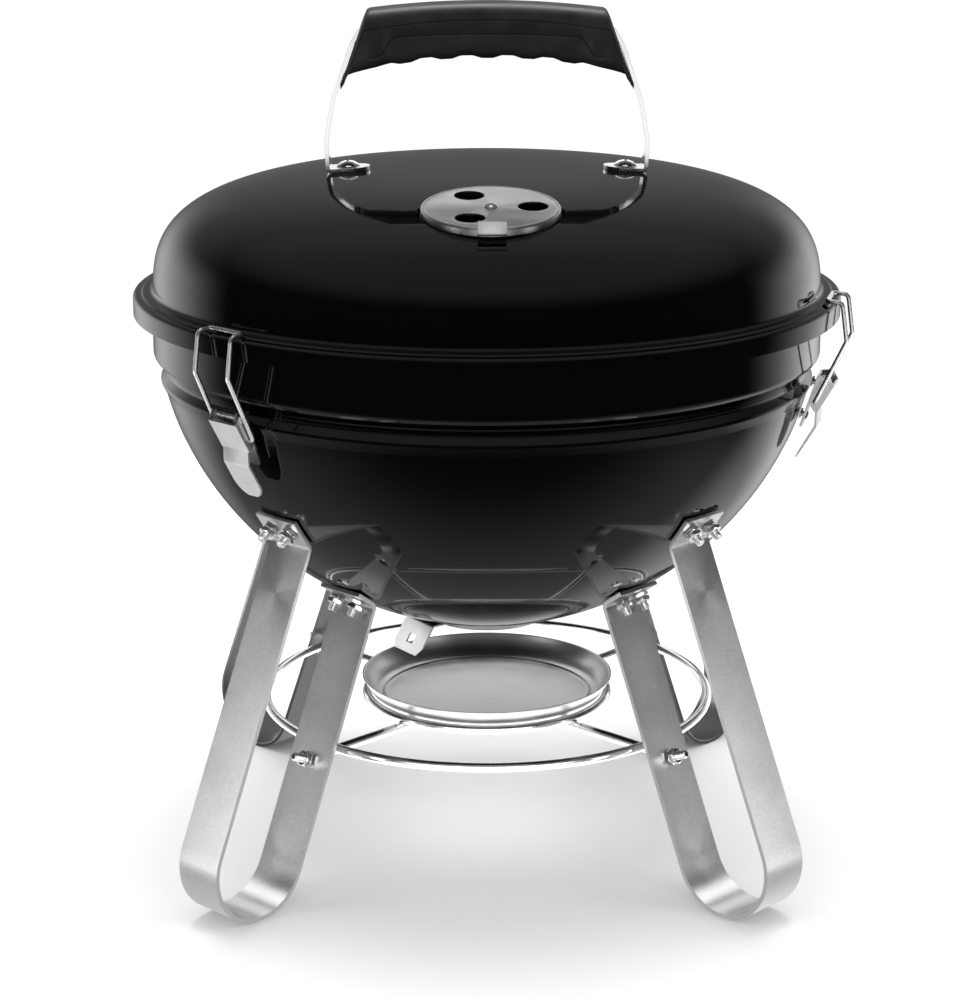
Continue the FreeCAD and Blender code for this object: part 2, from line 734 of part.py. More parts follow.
# ---- ash rack -----------------------------------------------------------------------
def rack_bolt_line():
    """Point on the inboard face of the inner strap, and the direction through the strap."""
    foot = LEG_CENTRE - LEG_OUT * LEG_BEND_R
    point = foot - LEG_DOWN * ((RACK_BOLT_Z - foot.z) / math.cos(LEAN))
    return point, LEG_OUT


SPOKE_Z = RACK_Z - 2 * WIRE_R - 0.02


def rack_spokes():
    """Wire spokes under the rings, each ending in a flat lug on the leg's inner strap."""
    point, axis = rack_bolt_line()
    centre = point - axis * (RACK_LUG_T + 0.1)
    lug = Part.makeCylinder(RACK_LUG_R, RACK_LUG_T, centre, axis)
    bar = rod(V(SPOKE_INNER_R, 0, SPOKE_Z), V(centre.x - 0.5, 0, SPOKE_Z), WIRE_R)
    head_room = Part.makeCylinder(BOLT_HEAD_R + 0.4, 12, centre - axis * 12.02, axis)
    spoke = cut_all(lug.fuse(bar), [round_hole(BOLT_HOLE_R, 30, point, axis), head_room])
    return Part.makeCompound([radial(spoke, azimuth) for azimuth in LEG_AZIMUTHS])


def rack_bolts():
    point, axis = rack_bolt_line()
    bolt = pan_screw(BOLT_HEAD_R - 0.2, BOLT_HEAD_H, BOLT_R, RACK_BOLT_LENGTH)
    bolt.Placement = FreeCAD.Placement(point - axis * 2.3, FreeCAD.Rotation(UP, -axis))
    return Part.makeCompound([radial(bolt, azimuth) for azimuth in LEG_AZIMUTHS])


def rack_nuts():
    point, axis = rack_bolt_line()
    pair = nut_pair(point + axis * (LEG_T + 0.2), axis)
    return Part.makeCompound([radial(single, azimuth) for azimuth in LEG_AZIMUTHS for single in pair])


def ash_tray():
    """Shallow dish with a sloped wall and a narrow rim."""
    path = [(0, TRAY_FLOOR_Z), (58.5, TRAY_FLOOR_Z), (67.0, 82.4), (70.2, TRAY_RIM_Z),
            (TRAY_R, TRAY_RIM_Z)]
    return revolve(plate(path, [6.0, 5.0, 0.0], TRAY_SHEET))


# ---- latches ------------------------------------------------------------------------
def build_latch(azimuth):
    """Base, rivets, pin, lever and bail of one latch, closed, at an azimuth."""
    shapes = {
        "base": latch_base(),
        "rivets": latch_rivets(),
        "pin": latch_pin(),
        "lever": latch_lever(),
        "bail": latch_bail(),
    }
    return {name: radial(shape, azimuth) for name, shape in shapes.items()}


PLATE_TILT = math.radians(LATCH_TILT)
PLATE_UP = V(math.sin(PLATE_TILT), 0, math.cos(PLATE_TILT))
PLATE_OUT = V(math.cos(PLATE_TILT), 0, -math.sin(PLATE_TILT))
PLATE_MID = xz(LATCH_PLATE_MID)


def latch_base():
    """Plate riveted to the bowl, with two ears that carry the lever's pin."""
    low = PLATE_MID - PLATE_UP * 14.5
    high = PLATE_MID + PLATE_UP * 15.0
    back = [low, high, high + PLATE_OUT * LATCH_PLATE_T, low + PLATE_OUT * LATCH_PLATE_T]
    panel = centred_extrude(polygon([(p.x, p.z) for p in back]), LATCH_PLATE_W)
    pin = xz(LATCH_PIN)
    ear_low = PLATE_MID + PLATE_UP * 1.0
    outline = [(ear_low.x, ear_low.z), (high.x, high.z), (pin.x + 1.4, pin.z + 2.6),
               (pin.x + 2.6, pin.z - 0.6), (pin.x + 0.4, pin.z - 3.0)]
    ears = []
    for side in (-1, 1):
        ear = centred_extrude(polygon(outline), LATCH_PLATE_T)
        ear.translate(V(0, side * (LATCH_PLATE_W - LATCH_PLATE_T) / 2, 0))
        ears.append(ear)
    body = fuse_all([panel] + ears)
    tools = [round_hole(LATCH_PIN_R + FIT, 40, pin, ACROSS)]
    for reach in (-LATCH_RIVET_REACH, LATCH_RIVET_REACH):
        tools.append(round_hole(LATCH_RIVET_R + FIT, 12, PLATE_MID + PLATE_UP * reach, PLATE_OUT))
    return cut_all(body, tools)


def latch_rivets():
    rivets = []
    for reach in (-LATCH_RIVET_REACH, LATCH_RIVET_REACH):
        centre = PLATE_MID + PLATE_UP * reach + PLATE_OUT * (LATCH_PLATE_T + 0.03)
        pin = rivet(LATCH_RIVET_R, 2.6, 2.9, 1.1)
        pin.Placement = FreeCAD.Placement(centre, FreeCAD.Rotation(UP, PLATE_OUT))
        rivets.append(pin)
    return Part.makeCompound(rivets)


def latch_pin():
    pin = xz(LATCH_PIN)
    half = LEVER_W / 2 + 0.1
    pieces = [round_hole(LATCH_PIN_R, 2 * half, pin, ACROSS)]
    for side in (-1, 1):
        end = V(pin.x, side * half, pin.z)
        pieces.append(Part.makeCylinder(LATCH_PIN_HEAD_R, LATCH_PIN_HEAD_H, end, ACROSS * side))
    return fuse_all(pieces)


def latch_lever():
    """Channel with two cheeks on the pin, and a curved finger tongue below."""
    face_top = (195.6, 271.8)
    face_low = (187.0, 257.0)
    path = [face_top, face_low, (186.8, 248.8), (175.6, 229.6)]
    strip = centred_extrude(plate(path, [1.5, 2.0], -LEVER_T), LEVER_W)
    flank_size = (60, 20, 40)
    flanks = [Part.makeBox(*flank_size, V(150, y, 216.6)) for y in (-TONGUE_HALF - 20, TONGUE_HALF)]
    strip = cut_all(strip, flanks).common(rounded_tongue())
    pin = LATCH_PIN
    pivot = BAIL_PIVOT
    cheek_outline = [face_top, face_low, (185.4, 257.4), (pivot[0] - 2.2, pivot[1] - 2.4),
                     (pivot[0] - 2.0, pivot[1] + 2.4), (pin[0] - 2.6, pin[1] - 1.0),
                     (pin[0] - 1.0, pin[1] + 2.4), (pin[0] + 2.0, pin[1] + 1.2)]
    cheeks = []
    for side in (-1, 1):
        cheek = centred_extrude(polygon(cheek_outline), LEVER_T)
        cheek.translate(V(0, side * (LEVER_W - LEVER_T) / 2, 0))
        cheeks.append(cheek)
    bores = [round_hole(LATCH_PIN_R + FIT, 60, xz(pin), ACROSS),
             round_hole(BAIL_R + FIT, 60, xz(pivot), ACROSS)]
    return cut_all(fuse_all([strip] + cheeks), bores)


def rounded_tongue():
    """Keeps the face square and gives the tongue its rounded tip."""
    upper = Part.makeBox(60, 40, 60, V(150, -20, 240))
    shoulder_z = TONGUE_TIP_Z + 9
    points = [V(150, -TONGUE_HALF, 245), V(150, -TONGUE_HALF, shoulder_z), V(150, 0, TONGUE_TIP_Z),
              V(150, TONGUE_HALF, shoulder_z), V(150, TONGUE_HALF, 245)]
    arc = Part.Arc(points[1], points[2], points[3]).toShape()
    runs = [Part.makeLine(points[0], points[1]), arc, Part.makeLine(points[3], points[4]),
            Part.makeLine(points[4], points[0])]
    lower = Part.Face(Part.Wire(runs)).extrude(V(60, 0, 0))
    return upper.fuse(lower)


def latch_bail():
    """Bent wire: crossbar on the flange, two legs, and ends turned into the lever's cheeks."""
    inner_half = LEVER_W / 2 - LEVER_T - 1.0
    side = [BAIL_PIVOT, BAIL_KNEE, BAIL_SHOULDER, BAIL_CROSS]
    near = [V(x, -BAIL_HALF, z) for x, z in side]
    far = [V(x, BAIL_HALF, z) for x, z in reversed(side)]
    start = V(BAIL_PIVOT[0], -inner_half, BAIL_PIVOT[1])
    end = V(BAIL_PIVOT[0], inner_half, BAIL_PIVOT[1])
    points = [start] + near + far + [end]
    return tube(bent_wire(points, [2.0, 3.0, 3.0, 2.4, 2.4, 3.0, 3.0, 2.0]), BAIL_R)


def bent_wire(points, radii):
    """Straight runs in space joined by tangent arcs."""
    edges = []
    start = points[0]
    for index in range(1, len(points) - 1):
        corner = points[index]
        before = (points[index - 1] - corner).normalize()
        after = (points[index + 1] - corner).normalize()
        radius = radii[index - 1]
        half = before.getAngle(after) / 2
        reach = radius / math.tan(half)
        first = corner + before * reach
        last = corner + after * reach
        middle = corner + (before + after).normalize() * (radius / math.sin(half) - radius)
        edges.append(Part.makeLine(start, first))
        edges.append(Part.Arc(first, middle, last).toShape())
        start = last
    edges.append(Part.makeLine(start, points[-1]))
    return Part.Wire(edges)


# ---- all the pieces -----------------------------------------------------------------
def build_nodes():
    upper, lower = grip_halves()
    nodes = {
        "lid_shell": lid_shell(),
        "lid_damper": lid_damper(),
        "lid_damper_rivet": on_damper(damper_rivet()),
        "handle_strap": handle_strap(),
        "handle_grip_upper": upper,
        "handle_grip_lower": lower,
        "handle_screws": handle_screws(),
        "handle_nuts": handle_nuts(),
        "bowl_shell": bowl_shell(),
        "bowl_damper": bowl_damper(),
        "bowl_damper_rivet": bowl_damper_rivet(),
        "cooking_grate_ring": ring(COOKING_R, COOKING_Z, WIRE_R),
        "cooking_grate_bars": grate_bars(COOKING_R, COOKING_Z + WIRE_R + BAR_R, COOKING_BARS),
        "cooking_grate_braces": grate_braces(COOKING_R, COOKING_Z - WIRE_R - BAR_R),
        "charcoal_grate_ring": ring(CHARCOAL_R, CHARCOAL_Z, WIRE_R),
        "charcoal_grate_bars": grate_bars(CHARCOAL_R, CHARCOAL_Z + WIRE_R + BAR_R, CHARCOAL_BARS),
        "leg_bolts": leg_bolts(),
        "leg_nuts": leg_nuts(),
        "rack_outer_ring": ring(RACK_OUTER_R, RACK_Z, WIRE_R),
        "rack_inner_ring": ring(RACK_INNER_R, RACK_Z, WIRE_R),
        "rack_spokes": rack_spokes(),
        "rack_bolts": rack_bolts(),
        "rack_nuts": rack_nuts(),
        "ash_tray": ash_tray(),
    }
    leg_names = ("leg_rear_left", "leg_front_left", "leg_front_right", "leg_rear_right")
    one_leg = leg()
    for name, azimuth in zip(leg_names, LEG_AZIMUTHS):
        nodes[name] = radial(one_leg, azimuth)
    for place, azimuth in LATCH_AZIMUTHS.items():
        for piece, shape in build_latch(azimuth).items():
            nodes["latch_" + piece + "_" + place] = shape
    return nodes


def main():
    os.makedirs("parts", exist_ok=True)
    for name, shape in build_nodes().items():
        solids = shape.Solids
        closed = all(solid.isValid() and solid.Volume > 0 for solid in solids)
        print(name, len(solids), "solid(s)", round(sum(s.Volume for s in solids)), "mm3",
              "ok" if closed and solids else "BAD")
        body = solids[0] if len(solids) == 1 else Part.makeCompound(solids)
        body.exportStep("parts/" + name + ".step")


main()
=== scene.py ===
"""Looks of the kettle charcoal grill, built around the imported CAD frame."""
import json
import math

import bmesh
import bpy
from mathutils import Matrix, Vector


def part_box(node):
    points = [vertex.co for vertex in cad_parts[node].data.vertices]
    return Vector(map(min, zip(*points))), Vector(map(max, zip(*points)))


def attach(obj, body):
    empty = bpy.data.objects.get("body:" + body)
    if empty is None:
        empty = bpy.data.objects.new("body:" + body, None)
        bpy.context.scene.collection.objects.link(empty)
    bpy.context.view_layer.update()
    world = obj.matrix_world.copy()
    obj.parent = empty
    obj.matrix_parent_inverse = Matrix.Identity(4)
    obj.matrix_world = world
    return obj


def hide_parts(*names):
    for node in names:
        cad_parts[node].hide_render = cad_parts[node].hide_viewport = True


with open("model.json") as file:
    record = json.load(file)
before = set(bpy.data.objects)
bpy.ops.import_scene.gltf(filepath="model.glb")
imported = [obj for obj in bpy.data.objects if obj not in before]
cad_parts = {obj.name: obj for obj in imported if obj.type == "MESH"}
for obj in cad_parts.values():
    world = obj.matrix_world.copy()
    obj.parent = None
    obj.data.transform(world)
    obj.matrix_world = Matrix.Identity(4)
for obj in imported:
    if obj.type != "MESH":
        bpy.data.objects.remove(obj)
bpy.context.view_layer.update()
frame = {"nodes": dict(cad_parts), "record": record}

MM = 0.001
NODES = frame["nodes"]

# ---- camera ---------------------------------------------------------------------------
CAMERA_DISTANCE = 1.4613         # from the kettle's axis, along the ground
CAMERA_HEIGHT = 0.5917
CAMERA_AZIMUTH = -0.0175         # radians from the front
CAMERA_PITCH = 0.2666            # radians below the horizon
CAMERA_LENS = 96.13              # for a 36 mm sensor on the long side
CAMERA_SHIFT_X = 0.0032


def make_camera():
    data = bpy.data.cameras.new("camera")
    data.lens = CAMERA_LENS
    data.sensor_width = 36
    data.shift_x = CAMERA_SHIFT_X
    camera = bpy.data.objects.new("camera", data)
    bpy.context.scene.collection.objects.link(camera)
    camera.location = (CAMERA_DISTANCE * math.sin(CAMERA_AZIMUTH),
                       -CAMERA_DISTANCE * math.cos(CAMERA_AZIMUTH), CAMERA_HEIGHT)
    camera.rotation_euler = (math.pi / 2 - CAMERA_PITCH, 0, CAMERA_AZIMUTH)
    bpy.context.scene.camera = camera


# ---- shader helpers -------------------------------------------------------------------
def new_material(name):
    material = bpy.data.materials.new(name)
    material.use_nodes = True
    tree = material.node_tree
    shader = tree.nodes["Principled BSDF"]
    return material, tree, shader


def add(tree, kind, **values):
    """New node with its settings and, for names that aren't settings, its input values."""
    node = tree.nodes.new(kind)
    for key, value in values.items():
        if hasattr(node, key):
            setattr(node, key, value)
        else:
            node.inputs[key.replace("_", " ")].default_value = value
    return node


def link(tree, source, target):
    tree.links.new(source, target)


def object_coordinates(tree, turn=0.0, stretch=(1, 1, 1)):
    """Object coordinates turned about Z and stretched, in metres."""
    place = add(tree, "ShaderNodeTexCoord")
    mapping = add(tree, "ShaderNodeMapping")
    rotate = add(tree, "ShaderNodeVectorRotate", rotation_type="Z_AXIS")
    rotate.inputs["Angle"].default_value = turn
    mapping.inputs["Scale"].default_value = stretch
    link(tree, place.outputs["Object"], rotate.inputs["Vector"])
    link(tree, rotate.outputs["Vector"], mapping.inputs["Vector"])
    return mapping.outputs["Vector"]


def noise(tree, vector, scale, detail=3.0, rough=0.5):
    node = add(tree, "ShaderNodeTexNoise", Scale=scale, Detail=detail, Roughness=rough)
    link(tree, vector, node.inputs["Vector"])
    return node.outputs["Fac"]


def ramp(tree, source, low, high, low_at=0.3, high_at=0.7):
    """Maps a 0..1 value to a range of numbers."""
    node = add(tree, "ShaderNodeMapRange")
    node.inputs["From Min"].default_value = low_at
    node.inputs["From Max"].default_value = high_at
    node.inputs["To Min"].default_value = low
    node.inputs["To Max"].default_value = high
    link(tree, source, node.inputs["Value"])
    return node.outputs["Result"]


def colours(tree, source, stops):
    node = add(tree, "ShaderNodeValToRGB")
    elements = node.color_ramp.elements
    while len(elements) < len(stops):
        elements.new(0.5)
    for element, (position, colour) in zip(elements, stops):
        element.position = position
        element.color = (*colour, 1)
    link(tree, source, node.inputs["Fac"])
    return node.outputs["Color"]


def grey(value, tint=0.0):
    return (value, value, value * (1 + tint))


def math_node(tree, operation, first, second):
    node = add(tree, "ShaderNodeMath", operation=operation)
    for socket, value in zip(node.inputs, (first, second)):
        if isinstance(value, (int, float)):
            socket.default_value = value
        else:
            link(tree, value, socket)
    return node.outputs["Value"]


def bump(tree, height, distance, strength, base=None):
    node = add(tree, "ShaderNodeBump", Distance=distance, Strength=strength)
    link(tree, height, node.inputs["Height"])
    if base is not None:
        link(tree, base, node.inputs["Normal"])
    return node.outputs["Normal"]


def soft_edges(tree, radius):
    """Normal that rounds sharp edges over."""
    return add(tree, "ShaderNodeBevel", samples=4, Radius=radius).outputs["Normal"]


def edge_wear(tree, radius):
    """0 on flat surfaces, rising to 1 on sharp edges."""
    bevel = add(tree, "ShaderNodeBevel", samples=4, Radius=radius)
    geometry = add(tree, "ShaderNodeNewGeometry")
    dot = add(tree, "ShaderNodeVectorMath", operation="DOT_PRODUCT")
    link(tree, bevel.outputs["Normal"], dot.inputs[0])
    link(tree, geometry.outputs["Normal"], dot.inputs[1])
    return ramp(tree, dot.outputs["Value"], 1.0, 0.0, 0.75, 0.98)


# ---- mesh helpers ---------------------------------------------------------------------
def new_object(name, form, material, smooth_angle=35.0):
    """Turns a bmesh in millimetres into an object with smooth shading and sharp edges."""
    bmesh.ops.recalc_face_normals(form, faces=form.faces)
    for face in form.faces:
        face.smooth = True
    for edge in form.edges:
        if len(edge.link_faces) == 2:
            edge.smooth = edge.calc_face_angle() < math.radians(smooth_angle)
    bmesh.ops.scale(form, vec=(MM, MM, MM), verts=form.verts)
    mesh = bpy.data.meshes.new(name)
    form.to_mesh(mesh)
    form.free()
    thing = bpy.data.objects.new(name, mesh)
    bpy.context.scene.collection.objects.link(thing)
    mesh.materials.append(material)
    return thing


def rounded(points, radii, step=12.0):
    """Corner points with arcs of the given radii, one per inner point, as a dense run."""
    run = [Vector(points[0])]
    for before, corner, after, radius in zip(points, points[1:], points[2:], radii):
        corner = Vector(corner)
        back = (Vector(before) - corner).normalized()
        ahead = (Vector(after) - corner).normalized()
        if radius <= 0:
            run.append(corner)
            continue
        half = back.angle(ahead) / 2
        reach = radius / math.tan(half)
        centre = corner + (back + ahead).normalized() * (radius / math.sin(half))
        first = corner + back * reach - centre
        last = corner + ahead * reach - centre
        turn = first.angle(last)
        count = max(2, math.ceil(math.degrees(turn) / step))
        for index in range(count + 1):
            share = index / count
            spot = (first * math.sin(turn * (1 - share)) + last * math.sin(turn * share)) / math.sin(turn)
            run.append(centre + spot)
    run.append(Vector(points[-1]))
    return run


def offset_run(run, distance):
    """Moves a dense run to its left by a distance."""
    moved = []
    for index, here in enumerate(run):
        ahead = run[min(index + 1, len(run) - 1)]
        behind = run[max(index - 1, 0)]
        along = (ahead - behind).normalized()
        moved.append(here + Vector((-along.y, along.x)) * distance)
    return moved


def lathe(loop, segments=240, form=None):
    """Revolves a closed loop of (radius, height) about Z; points on the axis stay single."""
    form = form or bmesh.new()
    columns = []
    for radius, height in loop:
        if radius < 1e-6:
            columns.append([form.verts.new((0, 0, height))])
            continue
        column = []
        for index in range(segments):
            angle = math.tau * index / segments
            column.append(form.verts.new((radius * math.cos(angle), radius * math.sin(angle), height)))
        columns.append(column)
    for one, two in zip(columns, columns[1:] + columns[:1]):
        for index in range(segments):
            after = (index + 1) % segments
            corners = [one[index % len(one)], two[index % len(two)],
                       two[after % len(two)], one[after % len(one)]]
            unique = list(dict.fromkeys(corners))
            if len(unique) >= 3:
                form.faces.new(unique)
    return form


def cut(thing, cutter):
    """Takes the cutter's volume out of a thing and removes the cutter."""
    modifier = thing.modifiers.new("cut", "BOOLEAN")
    modifier.object = cutter
    modifier.operation = "DIFFERENCE"
    modifier.solver = "EXACT"
    graph = bpy.context.evaluated_depsgraph_get()
    mesh = bpy.data.meshes.new_from_object(thing.evaluated_get(graph))
    thing.modifiers.clear()
    old = thing.data
    thing.data = mesh
    bpy.data.meshes.remove(old)
    bpy.data.objects.remove(cutter)


def mark_sharp(thing, smooth_angle=35.0):
    form = bmesh.new()
    form.from_mesh(thing.data)
    for face in form.faces:
        face.smooth = True
    for edge in form.edges:
        edge.smooth = len(edge.link_faces) != 2 or edge.calc_face_angle() < math.radians(smooth_angle)
    form.to_mesh(thing.data)
    form.free()


def placed(form, matrix):
    bmesh.ops.transform(form, matrix=matrix, verts=form.verts)
    return form


def add_form(whole, piece):
    """Adds one mesh to another and frees it."""
    mesh = bpy.data.meshes.new("part")
    piece.to_mesh(mesh)
    piece.free()
    whole.from_mesh(mesh)
    bpy.data.meshes.remove(mesh)


def frame_at(origin, axis):
    """Matrix that puts Z along an axis at a point, in millimetres."""
    return Matrix.Translation(Vector(origin)) @ Vector(axis).to_track_quat("Z", "Y").to_matrix().to_4x4()


# ---- materials ------------------------------------------------------------------------
def enamel():
    """Black porcelain enamel: deep gloss, faint orange peel, rare pinholes and fine dust."""
    material, tree, shader = new_material("black_enamel")
    where = object_coordinates(tree)
    tone = noise(tree, where, 14, 4)
    base = colours(tree, tone, [(0.3, grey(0.0006)), (0.75, grey(0.0012, 0.05))])
    link(tree, base, shader.inputs["Base Color"])
    smear = noise(tree, where, 30, 5, 0.6)
    link(tree, ramp(tree, smear, 0.045, 0.11), shader.inputs["Roughness"])
    shader.inputs["IOR"].default_value = 1.52
    shader.inputs["Coat Weight"].default_value = 0.35
    shader.inputs["Coat Roughness"].default_value = 0.03
    peel = noise(tree, where, 260, 2, 0.4)
    skin = bump(tree, peel, 0.0004, 0.035)
    pits = add(tree, "ShaderNodeTexVoronoi", Scale=420.0)
    link(tree, where, pits.inputs["Vector"])
    pinholes = ramp(tree, pits.outputs["Distance"], 0.0, 1.0, 0.015, 0.05)
    link(tree, bump(tree, pinholes, 0.0001, 0.12, skin), shader.inputs["Normal"])
    return material


def plastic():
    """Matte moulded nylon with a spark-eroded grain and slightly polished edges."""
    material, tree, shader = new_material("black_grip_plastic")
    where = object_coordinates(tree)
    tone = noise(tree, where, 60, 4)
    wear = edge_wear(tree, 0.0012)
    worn = math_node(tree, "MULTIPLY", wear, 0.25)
    shade = math_node(tree, "ADD", worn, ramp(tree, tone, 0.0, 0.35))
    base = colours(tree, shade, [(0.0, grey(0.014)), (0.7, grey(0.036))])
    link(tree, base, shader.inputs["Base Color"])
    grain = noise(tree, where, 2600, 3, 0.65)
    link(tree, ramp(tree, tone, 0.42, 0.55), shader.inputs["Roughness"])
    link(tree, bump(tree, grain, 0.00012, 0.35), shader.inputs["Normal"])
    return material


def brushed(name, turn, light, dark, along=330, across=1500, rough=(0.28, 0.42)):
    """Metal strip brushed across its width, so its fine lines run tangentially."""
    material, tree, shader = new_material(name)
    lines = noise(tree, object_coordinates(tree, turn, (across, along, across)), 1.0, 3, 0.6)
    fine = noise(tree, object_coordinates(tree, turn, (across * 2.2, along * 6, across * 2.2)), 1.0, 2)
    cloud = noise(tree, object_coordinates(tree, turn), 22, 4, 0.6)
    both = math_node(tree, "ADD", math_node(tree, "MULTIPLY", lines, 0.6),
                     math_node(tree, "MULTIPLY", cloud, 0.4))
    base = colours(tree, both, [(0.3, grey(dark)), (0.7, grey(light))])
    link(tree, base, shader.inputs["Base Color"])
    shader.inputs["Metallic"].default_value = 1.0
    shader.inputs["Anisotropic"].default_value = 0.35
    link(tree, ramp(tree, both, rough[0], rough[1]), shader.inputs["Roughness"])
    scratch = bump(tree, fine, 0.00003, 0.25, bump(tree, lines, 0.00005, 0.3, soft_edges(tree, 0.0004)))
    link(tree, scratch, shader.inputs["Normal"])
    return material


def satin_metal(name, light, dark, rough=(0.26, 0.38), grain=900):
    """Pressed or cast metal with a fine even grain."""
    material, tree, shader = new_material(name)
    where = object_coordinates(tree)
    cloud = noise(tree, where, 45, 5, 0.6)
    base = colours(tree, cloud, [(0.3, grey(dark)), (0.7, grey(light))])
    link(tree, base, shader.inputs["Base Color"])
    shader.inputs["Metallic"].default_value = 1.0
    link(tree, ramp(tree, cloud, rough[0], rough[1]), shader.inputs["Roughness"])
    fine = noise(tree, where, grain, 3, 0.6)
    link(tree, bump(tree, fine, 0.00006, 0.25, soft_edges(tree, 0.0003)), shader.inputs["Normal"])
    return material


def bright_metal(name, light=0.82, dark=0.68, rough=(0.07, 0.16)):
    """Bright plating over drawn wire: tight reflections, faint waves and smears."""
    material, tree, shader = new_material(name)
    where = object_coordinates(tree)
    smear = noise(tree, where, 120, 5, 0.6)
    base = colours(tree, smear, [(0.3, grey(dark)), (0.7, grey(light))])
    link(tree, base, shader.inputs["Base Color"])
    shader.inputs["Metallic"].default_value = 1.0
    link(tree, ramp(tree, smear, rough[0], rough[1]), shader.inputs["Roughness"])
    wave = noise(tree, where, 500, 2)
    link(tree, bump(tree, wave, 0.00004, 0.15, soft_edges(tree, 0.0003)), shader.inputs["Normal"])
    return material


LEG_TURNS = {"leg_front_left": 45.0, "leg_front_right": -45.0,
             "leg_rear_left": 135.0, "leg_rear_right": -135.0}


def make_materials():
    made = {
        "black_enamel": enamel(),
        "black_grip_plastic": plastic(),
        "damper_aluminium": satin_metal("damper_aluminium", 0.62, 0.5, (0.3, 0.42)),
        "tray_aluminium": satin_metal("tray_aluminium", 0.6, 0.5, (0.28, 0.4), 700),
        "plated_steel": bright_metal("plated_steel", 0.86, 0.78, (0.12, 0.2)),
        "rack_chrome": bright_metal("rack_chrome", 0.74, 0.6, (0.12, 0.22)),
        "grate_chrome": bright_metal("grate_chrome", 0.7, 0.55, (0.15, 0.26)),
        "latch_wire": bright_metal("latch_wire", 0.86, 0.74, (0.24, 0.36)),
        "latch_zinc": satin_metal("latch_zinc", 0.72, 0.6, (0.24, 0.36), 1100),
        "fastener_steel": bright_metal("fastener_steel", 0.84, 0.7, (0.1, 0.2)),
    }
    for leg, degrees in LEG_TURNS.items():
        made[leg] = brushed("brushed_steel_" + leg, math.radians(90 + degrees), 0.66, 0.5)
    return made


def paint(thing, material):
    thing.data.materials.clear()
    thing.data.materials.append(material)


def paint_nodes(materials):
    for entry in frame["record"]["subparts"]:
        node = entry["node"]
        material = materials.get(node) or materials.get(entry["material_slot"])
        paint(NODES[node], material)


# ---- lid and bowl ---------------------------------------------------------------------
SHEET = 1.2
DOME_R = 184.1
DOME_BASE_Z = 309.2
DOME_H = 72.3
DOME_POWER = 3.376
FLANGE_R = 195.0
FLANGE_Z = 316.2
RIM_LOW_Z = 305.7
BOWL_R = 182.9
BOWL_TOP_Z = 297.9
BOWL_DEPTH = 171.9
BOWL_POWER = 1.92
BOWL_FLAT_R = 38.0
BAND_R = 184.7
LIP_R = 192.4
LIP_TOP_Z = 314.6
LIP_HANG = 7.0
BOWL_CURVE_TOP_Z = 263.0
BEAD = [(181.4, 269.0), (177.4, 273.8), (179.6, 277.6), (BAND_R, 283.0)]
DAMPER_R = 35.85
DAMPER_DEPTH = 4.3
VENT_R = 7.85
VENT_PITCH_R = 21.5
LID_DAMPER = Vector((0, -116.0, 378.6))
LID_DAMPER_TILT = math.radians(8.7)
DAMPER_SHEET = 1.0
GAP = 0.3
SEAT_HOLE_R = 34.6
SEAT_OVERLAP = 1.6
TAB_W = 14.7
TRAY_SHEET = 0.8


def dome_z(r):
    return DOME_BASE_Z + DOME_H * (1 - (r / DOME_R) ** DOME_POWER) ** (1 / DOME_POWER)


def bowl_z(r):
    return BOWL_TOP_Z - BOWL_DEPTH * (1 - (r / BOWL_R) ** BOWL_POWER) ** (1 / BOWL_POWER)


def bowl_r(z):
    return BOWL_R * (1 - ((BOWL_TOP_Z - z) / BOWL_DEPTH) ** BOWL_POWER) ** (1 / BOWL_POWER)


def bowl_normal(z):
    """Outward normal of the bowl's wall in (radius, height)."""
    step = 0.5
    along = Vector((bowl_r(z + step) - bowl_r(z - step), 2 * step)).normalized()
    return Vector((along.y, -along.x))


def damper_place():
    """Matrix from a disc lying at z = 0 to the lid damper's place on the dome."""
    return Matrix.Translation(LID_DAMPER) @ Matrix.Rotation(LID_DAMPER_TILT, 4, "X")


def shell_loop(outer, inward):
    """Closed loop of a sheet from its outer run, both ends of which may lie on the axis."""
    inner = offset_run(outer, inward)
    inner[0].x = 0.0
    return outer + inner[::-1]


def lid_shell(material):
    """Dome, filleted into its flange, with the turned-down rim and the damper's well."""
    low = DOME_BASE_Z + 13.5
    foot_r = DOME_R * (1 - ((low - DOME_BASE_Z) / DOME_H) ** DOME_POWER) ** (1 / DOME_POWER)
    dome = []
    stations = 110
    for index in range(stations):
        r = foot_r * math.sin(math.pi / 2 * index / (stations - 1))
        dome.append(Vector((r, dome_z(r))))
    flange = rounded([dome[-1], (DOME_R, 317.9), (189.4, 317.6), (190.6, 316.7), (FLANGE_R, FLANGE_Z),
                      (FLANGE_R, RIM_LOW_Z)], [2.6, 1.6, 1.6, 2.3])
    outer = dome + flange[1:]
    thing = new_object("lid_dome", lathe(shell_loop(outer, -SHEET)), material)
    tilt = damper_place()
    seat = DAMPER_DEPTH + GAP
    well = lathe([(0, 12 - seat), (DAMPER_R + 7, 12 - seat), (DAMPER_R + 1, -seat), (SEAT_HOLE_R, -seat),
                  (SEAT_HOLE_R, -seat - 10), (0, -seat - 10)], 120)
    cut(thing, new_object("well", placed(well, tilt), material))
    mark_sharp(thing)
    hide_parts("lid_shell")
    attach(thing, "lid")
    seat_r = SEAT_HOLE_R + SEAT_OVERLAP
    dish = lathe([(0, -seat), (seat_r, -seat), (seat_r, -seat - SHEET), (0, -seat - SHEET)], 120)
    floor = new_object("lid_damper_seat", placed(dish, tilt), material)
    cut_vents(floor, tilt, material)
    mark_sharp(floor)
    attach(floor, "lid")


